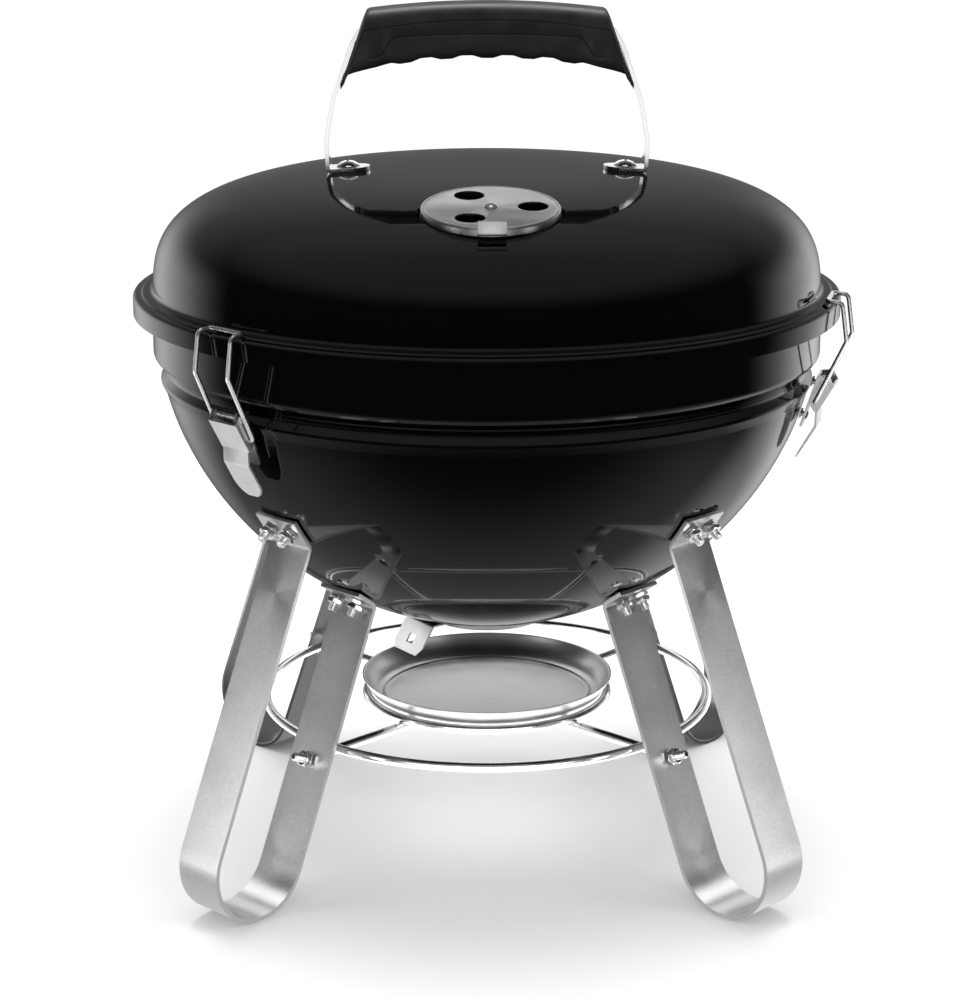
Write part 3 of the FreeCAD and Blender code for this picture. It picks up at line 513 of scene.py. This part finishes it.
def cut_vents(thing, place, material):
    holes = bmesh.new()
    for degrees in (0, 120, 240):
        angle = math.radians(degrees)
        spot = Matrix.Translation((VENT_PITCH_R * math.cos(angle), VENT_PITCH_R * math.sin(angle), 0))
        hole = lathe([(0, 7), (VENT_R, 7), (VENT_R, -9), (0, -9)], 48)
        add_form(holes, placed(hole, place @ spot))
    cut(thing, new_object("hole", holes, material))


def bowl_shell(material):
    """Round bowl with the grate's bead, the straight band and the turned lip."""
    top_r = bowl_r(BOWL_CURVE_TOP_Z)
    outer = [Vector((0, bowl_z(BOWL_FLAT_R)))]
    stations = 90
    for index in range(stations):
        r = BOWL_FLAT_R + (top_r - BOWL_FLAT_R) * math.sin(math.pi / 2 * index / (stations - 1))
        outer.append(Vector((r, bowl_z(r))))
    rim = rounded([outer[-1], *BEAD, (BAND_R, LIP_TOP_Z - SHEET), (LIP_R - SHEET, LIP_TOP_Z - SHEET),
                   (LIP_R - SHEET, LIP_TOP_Z - LIP_HANG)], [2.0, 1.5, 3.0, 4.0, 1.6, 1.3])
    route = outer + rim[1:]
    thing = new_object("bowl_pan", lathe(shell_loop(route, SHEET)), material)
    cut_vents(thing, Matrix.Translation((0, 0, bowl_z(BOWL_FLAT_R))), material)
    mark_sharp(thing)
    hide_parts("bowl_shell")
    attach(thing, "bowl")


def lid_damper(material):
    """Pressed cup with a rolled edge and a turned-up finger tab."""
    outer = rounded([(0, 0), (DAMPER_R - 0.2, 0), (DAMPER_R, -DAMPER_DEPTH)], [1.3], 9.0)
    crease = [Vector((DAMPER_R - 2.6, 0)), Vector((DAMPER_R - 2.3, -0.18)), Vector((DAMPER_R - 1.9, -0.02))]
    run = outer[:1] + crease + outer[1:]
    inner_r = DAMPER_R - DAMPER_SHEET
    cup = lathe(run + [Vector((inner_r, -DAMPER_DEPTH)), Vector((inner_r, -1.6)),
                       Vector((DAMPER_R - 1.6, -DAMPER_SHEET)), Vector((0, -DAMPER_SHEET))], 160)
    tilt = damper_place()
    thing = new_object("lid_damper_cup", placed(cup, tilt), material)
    cut_vents(thing, tilt, material)
    root_z = -DAMPER_DEPTH + 1.3
    route = rounded([(DAMPER_R - 0.9, root_z), (DAMPER_R + 4.0, root_z), (DAMPER_R + 4.6, 5.2)], [1.6], 15.0)
    tab = bent_plate(route, offset_run(route, DAMPER_SHEET), TAB_W)
    placed(tab, tilt @ Matrix.Rotation(-math.pi / 2, 4, "Z"))
    bmesh.ops.scale(tab, vec=(MM, MM, MM), verts=tab.verts)
    whole = bmesh.new()
    whole.from_mesh(thing.data)
    add_form(whole, tab)
    whole.to_mesh(thing.data)
    whole.free()
    mark_sharp(thing, 40.0)
    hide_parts("lid_damper")
    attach(thing, "lid_damper")


def bent_plate(near, far, width):
    """Plate between two runs in the XZ plane, centred on Y, with its edges bevelled."""
    form = bmesh.new()
    loop = list(near) + list(far)[::-1]
    sides = [[form.verts.new((spot.x, y, spot.y)) for spot in loop] for y in (-width / 2, width / 2)]
    count = len(loop)
    for index in range(count):
        after = (index + 1) % count
        form.faces.new([sides[0][index], sides[0][after], sides[1][after], sides[1][index]])
    half = count // 2
    for side in sides:
        for index in range(half - 1):
            form.faces.new([side[index], side[index + 1], side[count - 2 - index], side[count - 1 - index]])
    bmesh.ops.recalc_face_normals(form, faces=form.faces)
    rims = [edge for edge in form.edges if edge.calc_face_angle() > math.radians(60)]
    bmesh.ops.bevel(form, geom=rims, offset=0.18, segments=2, affect="EDGES", profile=0.5)
    return form


def ash_tray(material):
    """Dish with a beaded floor edge, a curved wall and a narrow rolled rim."""
    top_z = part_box("ash_tray")[1][2] / MM
    low_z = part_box("ash_tray")[0][2] / MM
    upper = [(0, low_z + 0.8), (58.2, low_z + 0.8), (59.2, low_z + 1.35), (60.3, low_z + 0.95),
             (63.2, low_z + 1.9), (66.3, low_z + 4.6), (69.2, low_z + 9.0), (70.6, top_z - 0.05),
             (71.7, top_z - 0.15)]
    run = rounded(upper, [6.0, 0.8, 0.8, 9.0, 16.0, 20.0, 0.6], 8.0)
    thing = new_object("ash_tray_dish", lathe(shell_loop(run, -TRAY_SHEET), 200), material, 50.0)
    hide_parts("ash_tray")
    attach(thing, "ash_tray")


# ---- grip -----------------------------------------------------------------------------
GRIP_DEPTH = 29.0
GRIP_TOP_Z = 472.0
GRIP_HALF = 76.0
GRIP_END = 79.2
FINGER_PITCH = 22.0
FINGER_DEPTH = 1.5


def ease(value, low, high):
    share = min(max((value - low) / (high - low), 0.0), 1.0)
    return share * share * (3 - 2 * share)


def along_line(x, knots):
    """Height on a line of (x, z) knots."""
    for (x0, z0), (x1, z1) in zip(knots, knots[1:]):
        if x <= x1:
            return z0 + (z1 - z0) * (x - x0) / (x1 - x0)
    return knots[-1][1]


def grip_top(x):
    crown = GRIP_TOP_Z - 4.0 * (x / 64.2) ** 2
    shoulder = along_line(x, [(0, 520), (58.0, 486.0), (67.2, 462.0), (76.4, 435.6), (GRIP_END, 429.2)])
    blend = 3.0
    low = min(crown, shoulder)
    apart = abs(crown - shoulder)
    return low - blend / 4 * (1 - min(apart / (2 * blend), 1)) ** 2


def grip_under(x):
    """Arch of the underside and, apart, the depth of its finger bumps."""
    arch = 443.0 - 9.9 * min(x / GRIP_HALF, 1.0) ** 2.4
    if x > GRIP_HALF:
        arch = along_line(x, [(GRIP_HALF, 433.1), (GRIP_HALF + 1.2, 429.5), (GRIP_END, 429.0)])
    wave = math.cos(math.tau * x / FINGER_PITCH) * 1.5
    swell = FINGER_DEPTH / 2 * min(max(wave, -1.0), 1.0) * (1 - ease(x, 48.0, 62.0))
    return arch, swell


def arc_points(centre, radius, start, end, count):
    points = []
    for index in range(count + 1):
        angle = math.radians(start + (end - start) * index / count)
        points.append((centre[0] + radius * math.cos(angle), centre[1] + radius * math.sin(angle)))
    return points


def grip_section(x):
    """Half section from the top's middle to the underside's middle, as (depth, height)."""
    reach = abs(x)
    top = grip_top(reach)
    arch, swell = grip_under(reach)
    under = arch - swell
    height = max(top - under, 0.3)
    half = GRIP_DEPTH / 2 - 1.6 * ease(reach, 60.0, GRIP_END)
    high_r = min(5.2, height * 0.42)
    low_r = min(5.0, height * 0.42)
    side_high = top - high_r - 0.35
    side_low = under + low_r
    parting = 463.3 - 10.8 * (reach / 90.0) ** 2
    second = 455.4 - 2.0 * (reach / 53.0) ** 2 - 17.0 * ease(reach, 49.0, 64.0)
    parting = min(max(parting, side_low + 1.6), side_high - 0.9)
    second = min(max(second, side_low + 0.5), parting - 1.6)
    first_depth = 0.75 * (1 - ease(reach, 69.0, 74.0))
    second_depth = 0.9 * (1 - ease(reach, 60.0, 65.0))
    points = [(0, top), (half * 0.45, top - 0.08)]
    points += arc_points((half - high_r, side_high), high_r, 90, 0, 8)
    points += [(half, parting + 0.4), (half - first_depth, parting + 0.25),
               (half - first_depth, parting - 0.25), (half - 0.15, parting - 0.45)]
    points += [(half - 0.1, second + 0.9), (half - second_depth, second), (half, second - 0.5)]
    points += arc_points((half - low_r, side_low), low_r, 0, -90, 8)
    points += [(half * 0.45, under), (0, under)]
    return points


def grip(material):
    """Moulded two-part grip with parting groove, panel line and finger bumps."""
    form = bmesh.new()
    stations = []
    count = 260
    for index in range(count + 1):
        share = -1 + 2 * index / count
        stations.append(GRIP_END * math.copysign(abs(share) ** 0.9, share))
    rings = []
    for x in stations:
        half = grip_section(x)
        loop = [(y, z) for y, z in half] + [(-y, z) for y, z in half[-2:0:-1]]
        rings.append([form.verts.new((x, y, z)) for y, z in loop])
    for one, two in zip(rings, rings[1:]):
        for index in range(len(one)):
            after = (index + 1) % len(one)
            form.faces.new([one[index], one[after], two[after], two[index]])
    form.faces.new(rings[0])
    form.faces.new(rings[-1][::-1])
    thing = new_object("grip_moulding", form, material, 50.0)
    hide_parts("handle_grip_upper", "handle_grip_lower")
    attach(thing, "lid")


# ---- bolts and nuts -------------------------------------------------------------------
BOLT_R = 2.4
THREAD_PITCH = 0.8
HEX_R = 4.6
NUT_H = 2.5
NUT_GAP = 0.35
LEG_BOLT_LENGTH = 14.4
RACK_BOLT_LENGTH = 17.0
LEG_HEAD_R = 4.6
RACK_HEAD_R = 4.4
HEAD_H = 2.6
PLAIN_SHANK = 4.0
LEG_HEAD_OFFSET = -2.0           # along each bolt, from the face that the strap or tab lies on
RACK_HEAD_OFFSET = -2.3
LEG_NUT_OFFSET = 2.65
RACK_NUT_OFFSET = 2.4
LEG_AZIMUTHS = (-135.0, -45.0, 45.0, 135.0)
LEG_TAB_Z = (208.2, 161.2)
LEG_BOLT_PITCH = 15.0
LEG_LEAN = math.radians(23.3)
LEG_BEND_R = 30.7
LEG_FOOT_S = 188.3
LEG_FLAT = 0.15
RACK_BOLT_Z = 73.0


def thread(form, start, length):
    """Screw thread along Z with a chamfered end, added to a mesh."""
    segments = 24
    turns = math.ceil(length / THREAD_PITCH) + 1
    shape = [(0.0, 0.0), (0.25, 0.0), (0.5, 1.0), (0.75, 1.0)]
    columns = []
    for turn in range(-1, turns):
        for phase, crest in shape:
            column = []
            for index in range(segments):
                angle = math.tau * index / segments
                z = THREAD_PITCH * (turn + phase + index / segments)
                r = BOLT_R - 0.38 * (1 - crest)
                r -= max(0.0, z - (length - 0.7)) * 0.9
                z = min(max(z, 0.0), length)
                column.append(form.verts.new((r * math.cos(angle), r * math.sin(angle), start + z)))
            columns.append(column)
    last = segments - 1
    for one, two in zip(columns, columns[1:]):
        for index in range(last):
            form.faces.new([one[index], one[index + 1], two[index + 1], two[index]])
    step = len(shape)
    for number in range(len(columns) - step - 1):
        form.faces.new([columns[number][last], columns[number + step][0],
                        columns[number + step + 1][0], columns[number + 1][last]])
    centre = form.verts.new((0, 0, start + length))
    top = columns[-1]
    for index in range(segments):
        form.faces.new([top[index], top[(index + 1) % segments], centre])
    bmesh.ops.remove_doubles(form, verts=form.verts, dist=0.0005)


def pan_head(form, radius, height):
    """Domed head above z = 0."""
    loop = [(0, 0), (radius - 0.2, 0)]
    crown = (radius ** 2 + height ** 2) / (2 * height)
    for index in range(9):
        angle = math.asin(radius / crown) * (1 - index / 8)
        loop.append((crown * math.sin(angle), height - crown + crown * math.cos(angle)))
    loop[-1] = (0, height)
    lathe(loop, 40, form)


def bolt_form(head_r, head_h, length, plain):
    """Bolt along +Z: head below z = 0, plain shank, then thread."""
    form = bmesh.new()
    pan_head(form, head_r, head_h)
    placed(form, Matrix.Scale(-1, 4, (0, 0, 1)))
    lathe([(0, 0), (BOLT_R, 0), (BOLT_R, plain), (0, plain)], 24, form)
    thread(form, plain, length - plain)
    return form


def nut_pair():
    """Thin nut and lock nut on one bolt."""
    form = bmesh.new()
    add_form(form, nut_form())
    spin = Matrix.Rotation(math.radians(22), 4, "Z")
    add_form(form, placed(nut_form(), Matrix.Translation((0, 0, NUT_H + NUT_GAP)) @ spin))
    return form


def nut_form():
    """Chamfered hexagon nut from z = 0 up, with its bore."""
    form = bmesh.new()
    segments = 60
    apothem = HEX_R * math.cos(math.radians(30))
    flat_r = apothem - 0.15
    slope = math.tan(math.radians(30))
    rings = [[] for _ in range(6)]
    for index in range(segments):
        angle = math.tau * index / segments
        within = (angle % math.radians(60)) - math.radians(30)
        hex_r = apothem / math.cos(within)
        drop = (hex_r - flat_r) * slope
        bore = BOLT_R + 0.02
        places = [(bore + 0.25, 0), (flat_r, 0), (hex_r, drop), (hex_r, NUT_H - drop), (flat_r, NUT_H),
                  (bore + 0.25, NUT_H)]
        for ring, (r, z) in zip(rings, places):
            ring.append(form.verts.new((r * math.cos(angle), r * math.sin(angle), z)))
    inner = []
    for z in (NUT_H - 0.3, 0.3):
        inner.append([form.verts.new((bore * math.cos(math.tau * i / segments),
                                      bore * math.sin(math.tau * i / segments), z)) for i in range(segments)])
    rings += inner
    for one, two in zip(rings, rings[1:] + rings[:1]):
        for index in range(segments):
            after = (index + 1) % segments
            form.faces.new([one[index], one[after], two[after], two[index]])
    return form


def turned(point, azimuth):
    """(distance, sideways, height) at an azimuth, front being 0 and growing to +X."""
    return Matrix.Rotation(math.radians(azimuth - 90), 4, "Z") @ Vector(point)


def leg_bolt_places():
    """Points on the bowl and outward normals for the sixteen leg bolts."""
    places = []
    for azimuth in LEG_AZIMUTHS:
        for z in LEG_TAB_Z:
            normal = bowl_normal(z)
            for side in (-1, 1):
                base = Vector((bowl_r(z), side * LEG_BOLT_PITCH / 2, z))
                places.append((turned(base, azimuth), turned((normal.x, 0, normal.y), azimuth)))
    return places


def rack_bolt_places():
    down = Vector((math.sin(LEG_LEAN), 0, -math.cos(LEG_LEAN)))
    out = Vector((math.cos(LEG_LEAN), 0, math.sin(LEG_LEAN)))
    foot = Vector((LEG_FOOT_S, 0, LEG_BEND_R - LEG_FLAT)) - out * LEG_BEND_R
    point = foot - down * ((RACK_BOLT_Z - foot.z) / math.cos(LEG_LEAN))
    return [(turned(point, azimuth), turned(out, azimuth)) for azimuth in LEG_AZIMUTHS]


def hardware(name, places, piece, offset, material, node):
    """Copies of one bolt or nut at all its places, as one object."""
    form = bmesh.new()
    for index, (point, axis) in enumerate(places):
        spin = Matrix.Rotation(math.radians(37.0 * index % 60), 4, "Z")
        add_form(form, placed(piece.copy(), frame_at(point + axis * offset, axis) @ spin))
    piece.free()
    thing = new_object(name, form, material, 28.0)
    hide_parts(node)
    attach(thing, "bowl")


def fasteners(material):
    legs = leg_bolt_places()
    bolt = bolt_form(LEG_HEAD_R, HEAD_H, LEG_BOLT_LENGTH, PLAIN_SHANK)
    hardware("leg_bolts_threaded", legs, bolt, LEG_HEAD_OFFSET, material, "leg_bolts")
    hardware("leg_nuts_hex", legs, nut_pair(), LEG_NUT_OFFSET, material, "leg_nuts")
    rack = rack_bolt_places()
    bolt = bolt_form(RACK_HEAD_R, HEAD_H, RACK_BOLT_LENGTH, PLAIN_SHANK)
    hardware("rack_bolts_threaded", rack, bolt, RACK_HEAD_OFFSET, material, "rack_bolts")
    hardware("rack_nuts_hex", rack, nut_pair(), RACK_NUT_OFFSET, material, "rack_nuts")


# ---- stage ----------------------------------------------------------------------------
METAL_SLOTS = ("brushed_steel", "damper_aluminium", "tray_aluminium", "plated_steel", "rack_chrome",
               "grate_chrome", "latch_wire", "latch_zinc", "fastener_steel")
METAL_PIECES = ("leg_bolts_threaded", "leg_nuts_hex", "rack_bolts_threaded", "rack_nuts_hex",
                "lid_damper_cup", "ash_tray_dish")
REAR_LEGS = ("leg_rear_left", "leg_rear_right")
WORLD_BACK = 0.13                # how bright the gloss sees the studio, by direction
WORLD_SIDES = 0.9
WORLD_ABOVE = 0.17
WORLD_BELOW = 0.2
WORLD_FLOOR = 0.018
WORLD_GLOW = 0.42
GLOW_DIRECTION = (0.5, 0.66, -0.53)
WORLD_DIFFUSE = 1.0
WORLD_CAMERA = 1.05
FLOOR_RADIUS = 0.95


def grouped(name, things):
    group = bpy.data.collections.new(name)
    for thing in things:
        group.objects.link(thing)
    return group


def metal_things():
    """The nodes and pieces of metal, which have lamps of their own besides the key."""
    slots = {entry["node"]: entry["material_slot"] for entry in frame["record"]["subparts"]}
    nodes = [NODES[node] for node, slot in slots.items() if slot in METAL_SLOTS]
    return nodes + [bpy.data.objects[name] for name in METAL_PIECES]


def area_light(name, place, target, size, radiance, receivers=None, blockers=None):
    """Soft box; with receivers it lights and shows only on them, else it isn't reflected."""
    data = bpy.data.lights.new(name, "AREA")
    data.shape = "RECTANGLE"
    data.size, data.size_y = size
    data.energy = radiance * math.pi * size[0] * size[1]
    lamp = bpy.data.objects.new(name, data)
    bpy.context.scene.collection.objects.link(lamp)
    lamp.location = place
    aim = Vector(target) - Vector(place)
    lamp.rotation_euler = aim.to_track_quat("-Z", "Y").to_euler()
    lamp.visible_camera = False
    if receivers:
        lamp.light_linking.receiver_collection = receivers
    else:
        lamp.visible_glossy = False
    if blockers:
        lamp.light_linking.blocker_collection = blockers


def smooth_step(tree, source, low, high, amount):
    node = add(tree, "ShaderNodeMapRange", interpolation_type="SMOOTHSTEP")
    node.inputs["From Min"].default_value = low
    node.inputs["From Max"].default_value = high
    node.inputs["To Min"].default_value = 0.0
    node.inputs["To Max"].default_value = amount
    link(tree, source, node.inputs["Value"])
    return node.outputs["Result"]


def mix_values(tree, share, first, second):
    """first where share is 0 and second where it is 1."""
    node = add(tree, "ShaderNodeMix", data_type="FLOAT")
    link(tree, share, node.inputs[0])
    for socket, value in ((node.inputs[2], first), (node.inputs[3], second)):
        if isinstance(value, (int, float)):
            socket.default_value = value
        else:
            link(tree, value, socket)
    return node.outputs[0]


def make_world():
    """White background; what the gloss sees is a pale backdrop, an overhead box and a dark front."""
    world = bpy.data.worlds.new("studio")
    bpy.context.scene.world = world
    world.use_nodes = True
    tree = world.node_tree
    background = tree.nodes["Background"]
    direction = add(tree, "ShaderNodeTexCoord").outputs["Generated"]
    split = add(tree, "ShaderNodeSeparateXYZ")
    link(tree, direction, split.inputs["Vector"])
    aside = math_node(tree, "ABSOLUTE", split.outputs["X"], 0.0)
    level = math_node(tree, "MULTIPLY", smooth_step(tree, split.outputs["Z"], -0.6, -0.25, 1.0),
                      smooth_step(tree, split.outputs["Z"], 0.4, 0.0, 1.0))
    sides = math_node(tree, "MULTIPLY", smooth_step(tree, aside, 0.15, 0.6, WORLD_SIDES), level)
    sides = math_node(tree, "ADD", sides, WORLD_BACK)
    back = math_node(tree, "MULTIPLY", smooth_step(tree, split.outputs["Y"], 0.1, 0.75, 1.0), sides)
    above = smooth_step(tree, split.outputs["Z"], 0.3, 0.8, WORLD_ABOVE)
    below = math_node(tree, "MULTIPLY", smooth_step(tree, split.outputs["Z"], -0.3, -0.7, WORLD_BELOW),
                      smooth_step(tree, split.outputs["Y"], -0.7, 0.1, 1.0))
    total = math_node(tree, "MAXIMUM", math_node(tree, "MAXIMUM", back, above), below)
    lobe = add(tree, "ShaderNodeVectorMath", operation="DOT_PRODUCT")
    lobe.inputs[1].default_value = Vector(GLOW_DIRECTION).normalized()
    link(tree, direction, lobe.inputs[0])
    glow = smooth_step(tree, lobe.outputs["Value"], 0.86, 1.0, WORLD_GLOW)
    total = math_node(tree, "ADD", math_node(tree, "ADD", total, glow), WORLD_FLOOR)
    path = add(tree, "ShaderNodeLightPath")
    strength = mix_values(tree, path.outputs["Is Diffuse Ray"], total, WORLD_DIFFUSE)
    strength = mix_values(tree, path.outputs["Is Camera Ray"], strength, WORLD_CAMERA)
    link(tree, strength, background.inputs["Strength"])
    background.inputs["Color"].default_value = (1, 1, 1, 1)


def make_floor():
    form = bmesh.new()
    bmesh.ops.create_circle(form, cap_ends=True, segments=96, radius=FLOOR_RADIUS)
    mesh = bpy.data.meshes.new("floor")
    form.to_mesh(mesh)
    form.free()
    floor = bpy.data.objects.new("floor", mesh)
    bpy.context.scene.collection.objects.link(floor)
    floor.location.z = -0.0002
    floor.visible_glossy = False
    material, tree, shader = new_material("floor_white")
    shader.inputs["Roughness"].default_value = 0.9
    shader.inputs["Specular IOR Level"].default_value = 0.0
    tone = noise(tree, object_coordinates(tree), 3, 3)
    link(tree, colours(tree, tone, [(0.2, grey(0.93)), (0.8, grey(0.95))]), shader.inputs["Base Color"])
    mesh.materials.append(material)


def make_stage():
    make_world()
    grill = grouped("grill", [thing for thing in bpy.data.objects if thing.type == "MESH"])
    make_floor()
    metals = grouped("metals", metal_things())
    front_metals = grouped("front_metals", [t for t in metal_things() if t.name not in REAR_LEGS])
    legs = grouped("front_legs", [NODES["leg_front_left"], NODES["leg_front_right"]])
    dish = bpy.data.objects["ash_tray_dish"]
    dishes = grouped("dishes", [NODES["bowl_damper"], dish])
    damper = grouped("damper", [bpy.data.objects["lid_damper_cup"]])
    under = grouped("under", [dish] + [t for t in metal_things() if t.name.startswith("rack_")])
    small_names = ("rack_", "leg_bolts", "leg_nuts")
    small = grouped("small", [t for t in metal_things() if t.name.startswith(small_names)])
    moulding = grouped("moulding", [bpy.data.objects["grip_moulding"]])
    area_light("key_top", (0.0, 0.3, 1.95), (0, 0, 0), (1.7, 1.3), 4.3)
    area_light("grip_over", (0.0, 0.2, 1.5), (0, 0, 0.46), (0.9, 0.9), 7.0, moulding)
    area_light("metal_left", (-0.40, -0.26, 0.13), (0, -0.2, 0.11), (0.22, 0.30), 2.4, front_metals)
    area_light("metal_right", (0.40, -0.26, 0.13), (0, -0.2, 0.11), (0.22, 0.30), 2.4, front_metals)
    area_light("metal_high", (0.0, 1.7, 1.4), (0, 0, 0.35), (1.8, 0.9), 1.6, front_metals)
    area_light("metal_back", (0.0, 2.2, 0.3), (0, 0, 0.3), (3.6, 1.2), 0.9, front_metals)
    area_light("metal_front", (0.0, -1.6, 0.12), (0, 0, 0.25), (1.6, 0.5), 1.2, front_metals)
    area_light("metal_over", (0.0, -0.4, 1.7), (0, 0, 0.3), (0.8, 0.8), 0.8, metals)
    area_light("metal_floor", (0.0, 0.0, -0.03), (0, 0, 1), (1.6, 1.6), 0.6, front_metals, grill)
    area_light("under_floor", (0.0, -0.1, -0.04), (0, 0, 1), (0.9, 0.9), 1.6, under, grill)
    area_light("skirt_front", (0.0, -1.3, -0.4), (0, -0.15, 0.37), (0.9, 0.5), 1.2, damper, grill)
    area_light("small_front", (0.0, -1.5, 0.6), (0, 0, 0.15), (2.6, 1.0), 2.2, small)
    rear = grouped("rear_legs", [NODES[name] for name in REAR_LEGS])
    area_light("rear_back", (0.0, 1.6, 0.12), (0, 0, 0.15), (1.6, 0.5), 2.0, rear)
    for side in (-1, 1):
        area_light("rear_side", (side * 0.40, 0.26, 0.13), (0, 0.2, 0.11), (0.22, 0.30), 2.4, rear)
        area_light("dish_side", (side * 1.5, 0.75, 0.65), (0, 0, 0.1), (0.7, 0.6), 2.6, dishes)
        area_light("bend_high", (side * 1.05, 0.6, 1.15), (side * 0.12, -0.11, 0), (0.7, 0.7), 2.6, legs)


def main():
    make_camera()
    materials = make_materials()
    paint_nodes(materials)
    lid_shell(materials["black_enamel"])
    bowl_shell(materials["black_enamel"])
    grip(materials["black_grip_plastic"])
    fasteners(materials["fastener_steel"])
    lid_damper(materials["damper_aluminium"])
    ash_tray(materials["tray_aluminium"])
    make_stage()
    bpy.context.scene.view_settings.view_transform = "Standard"


main()
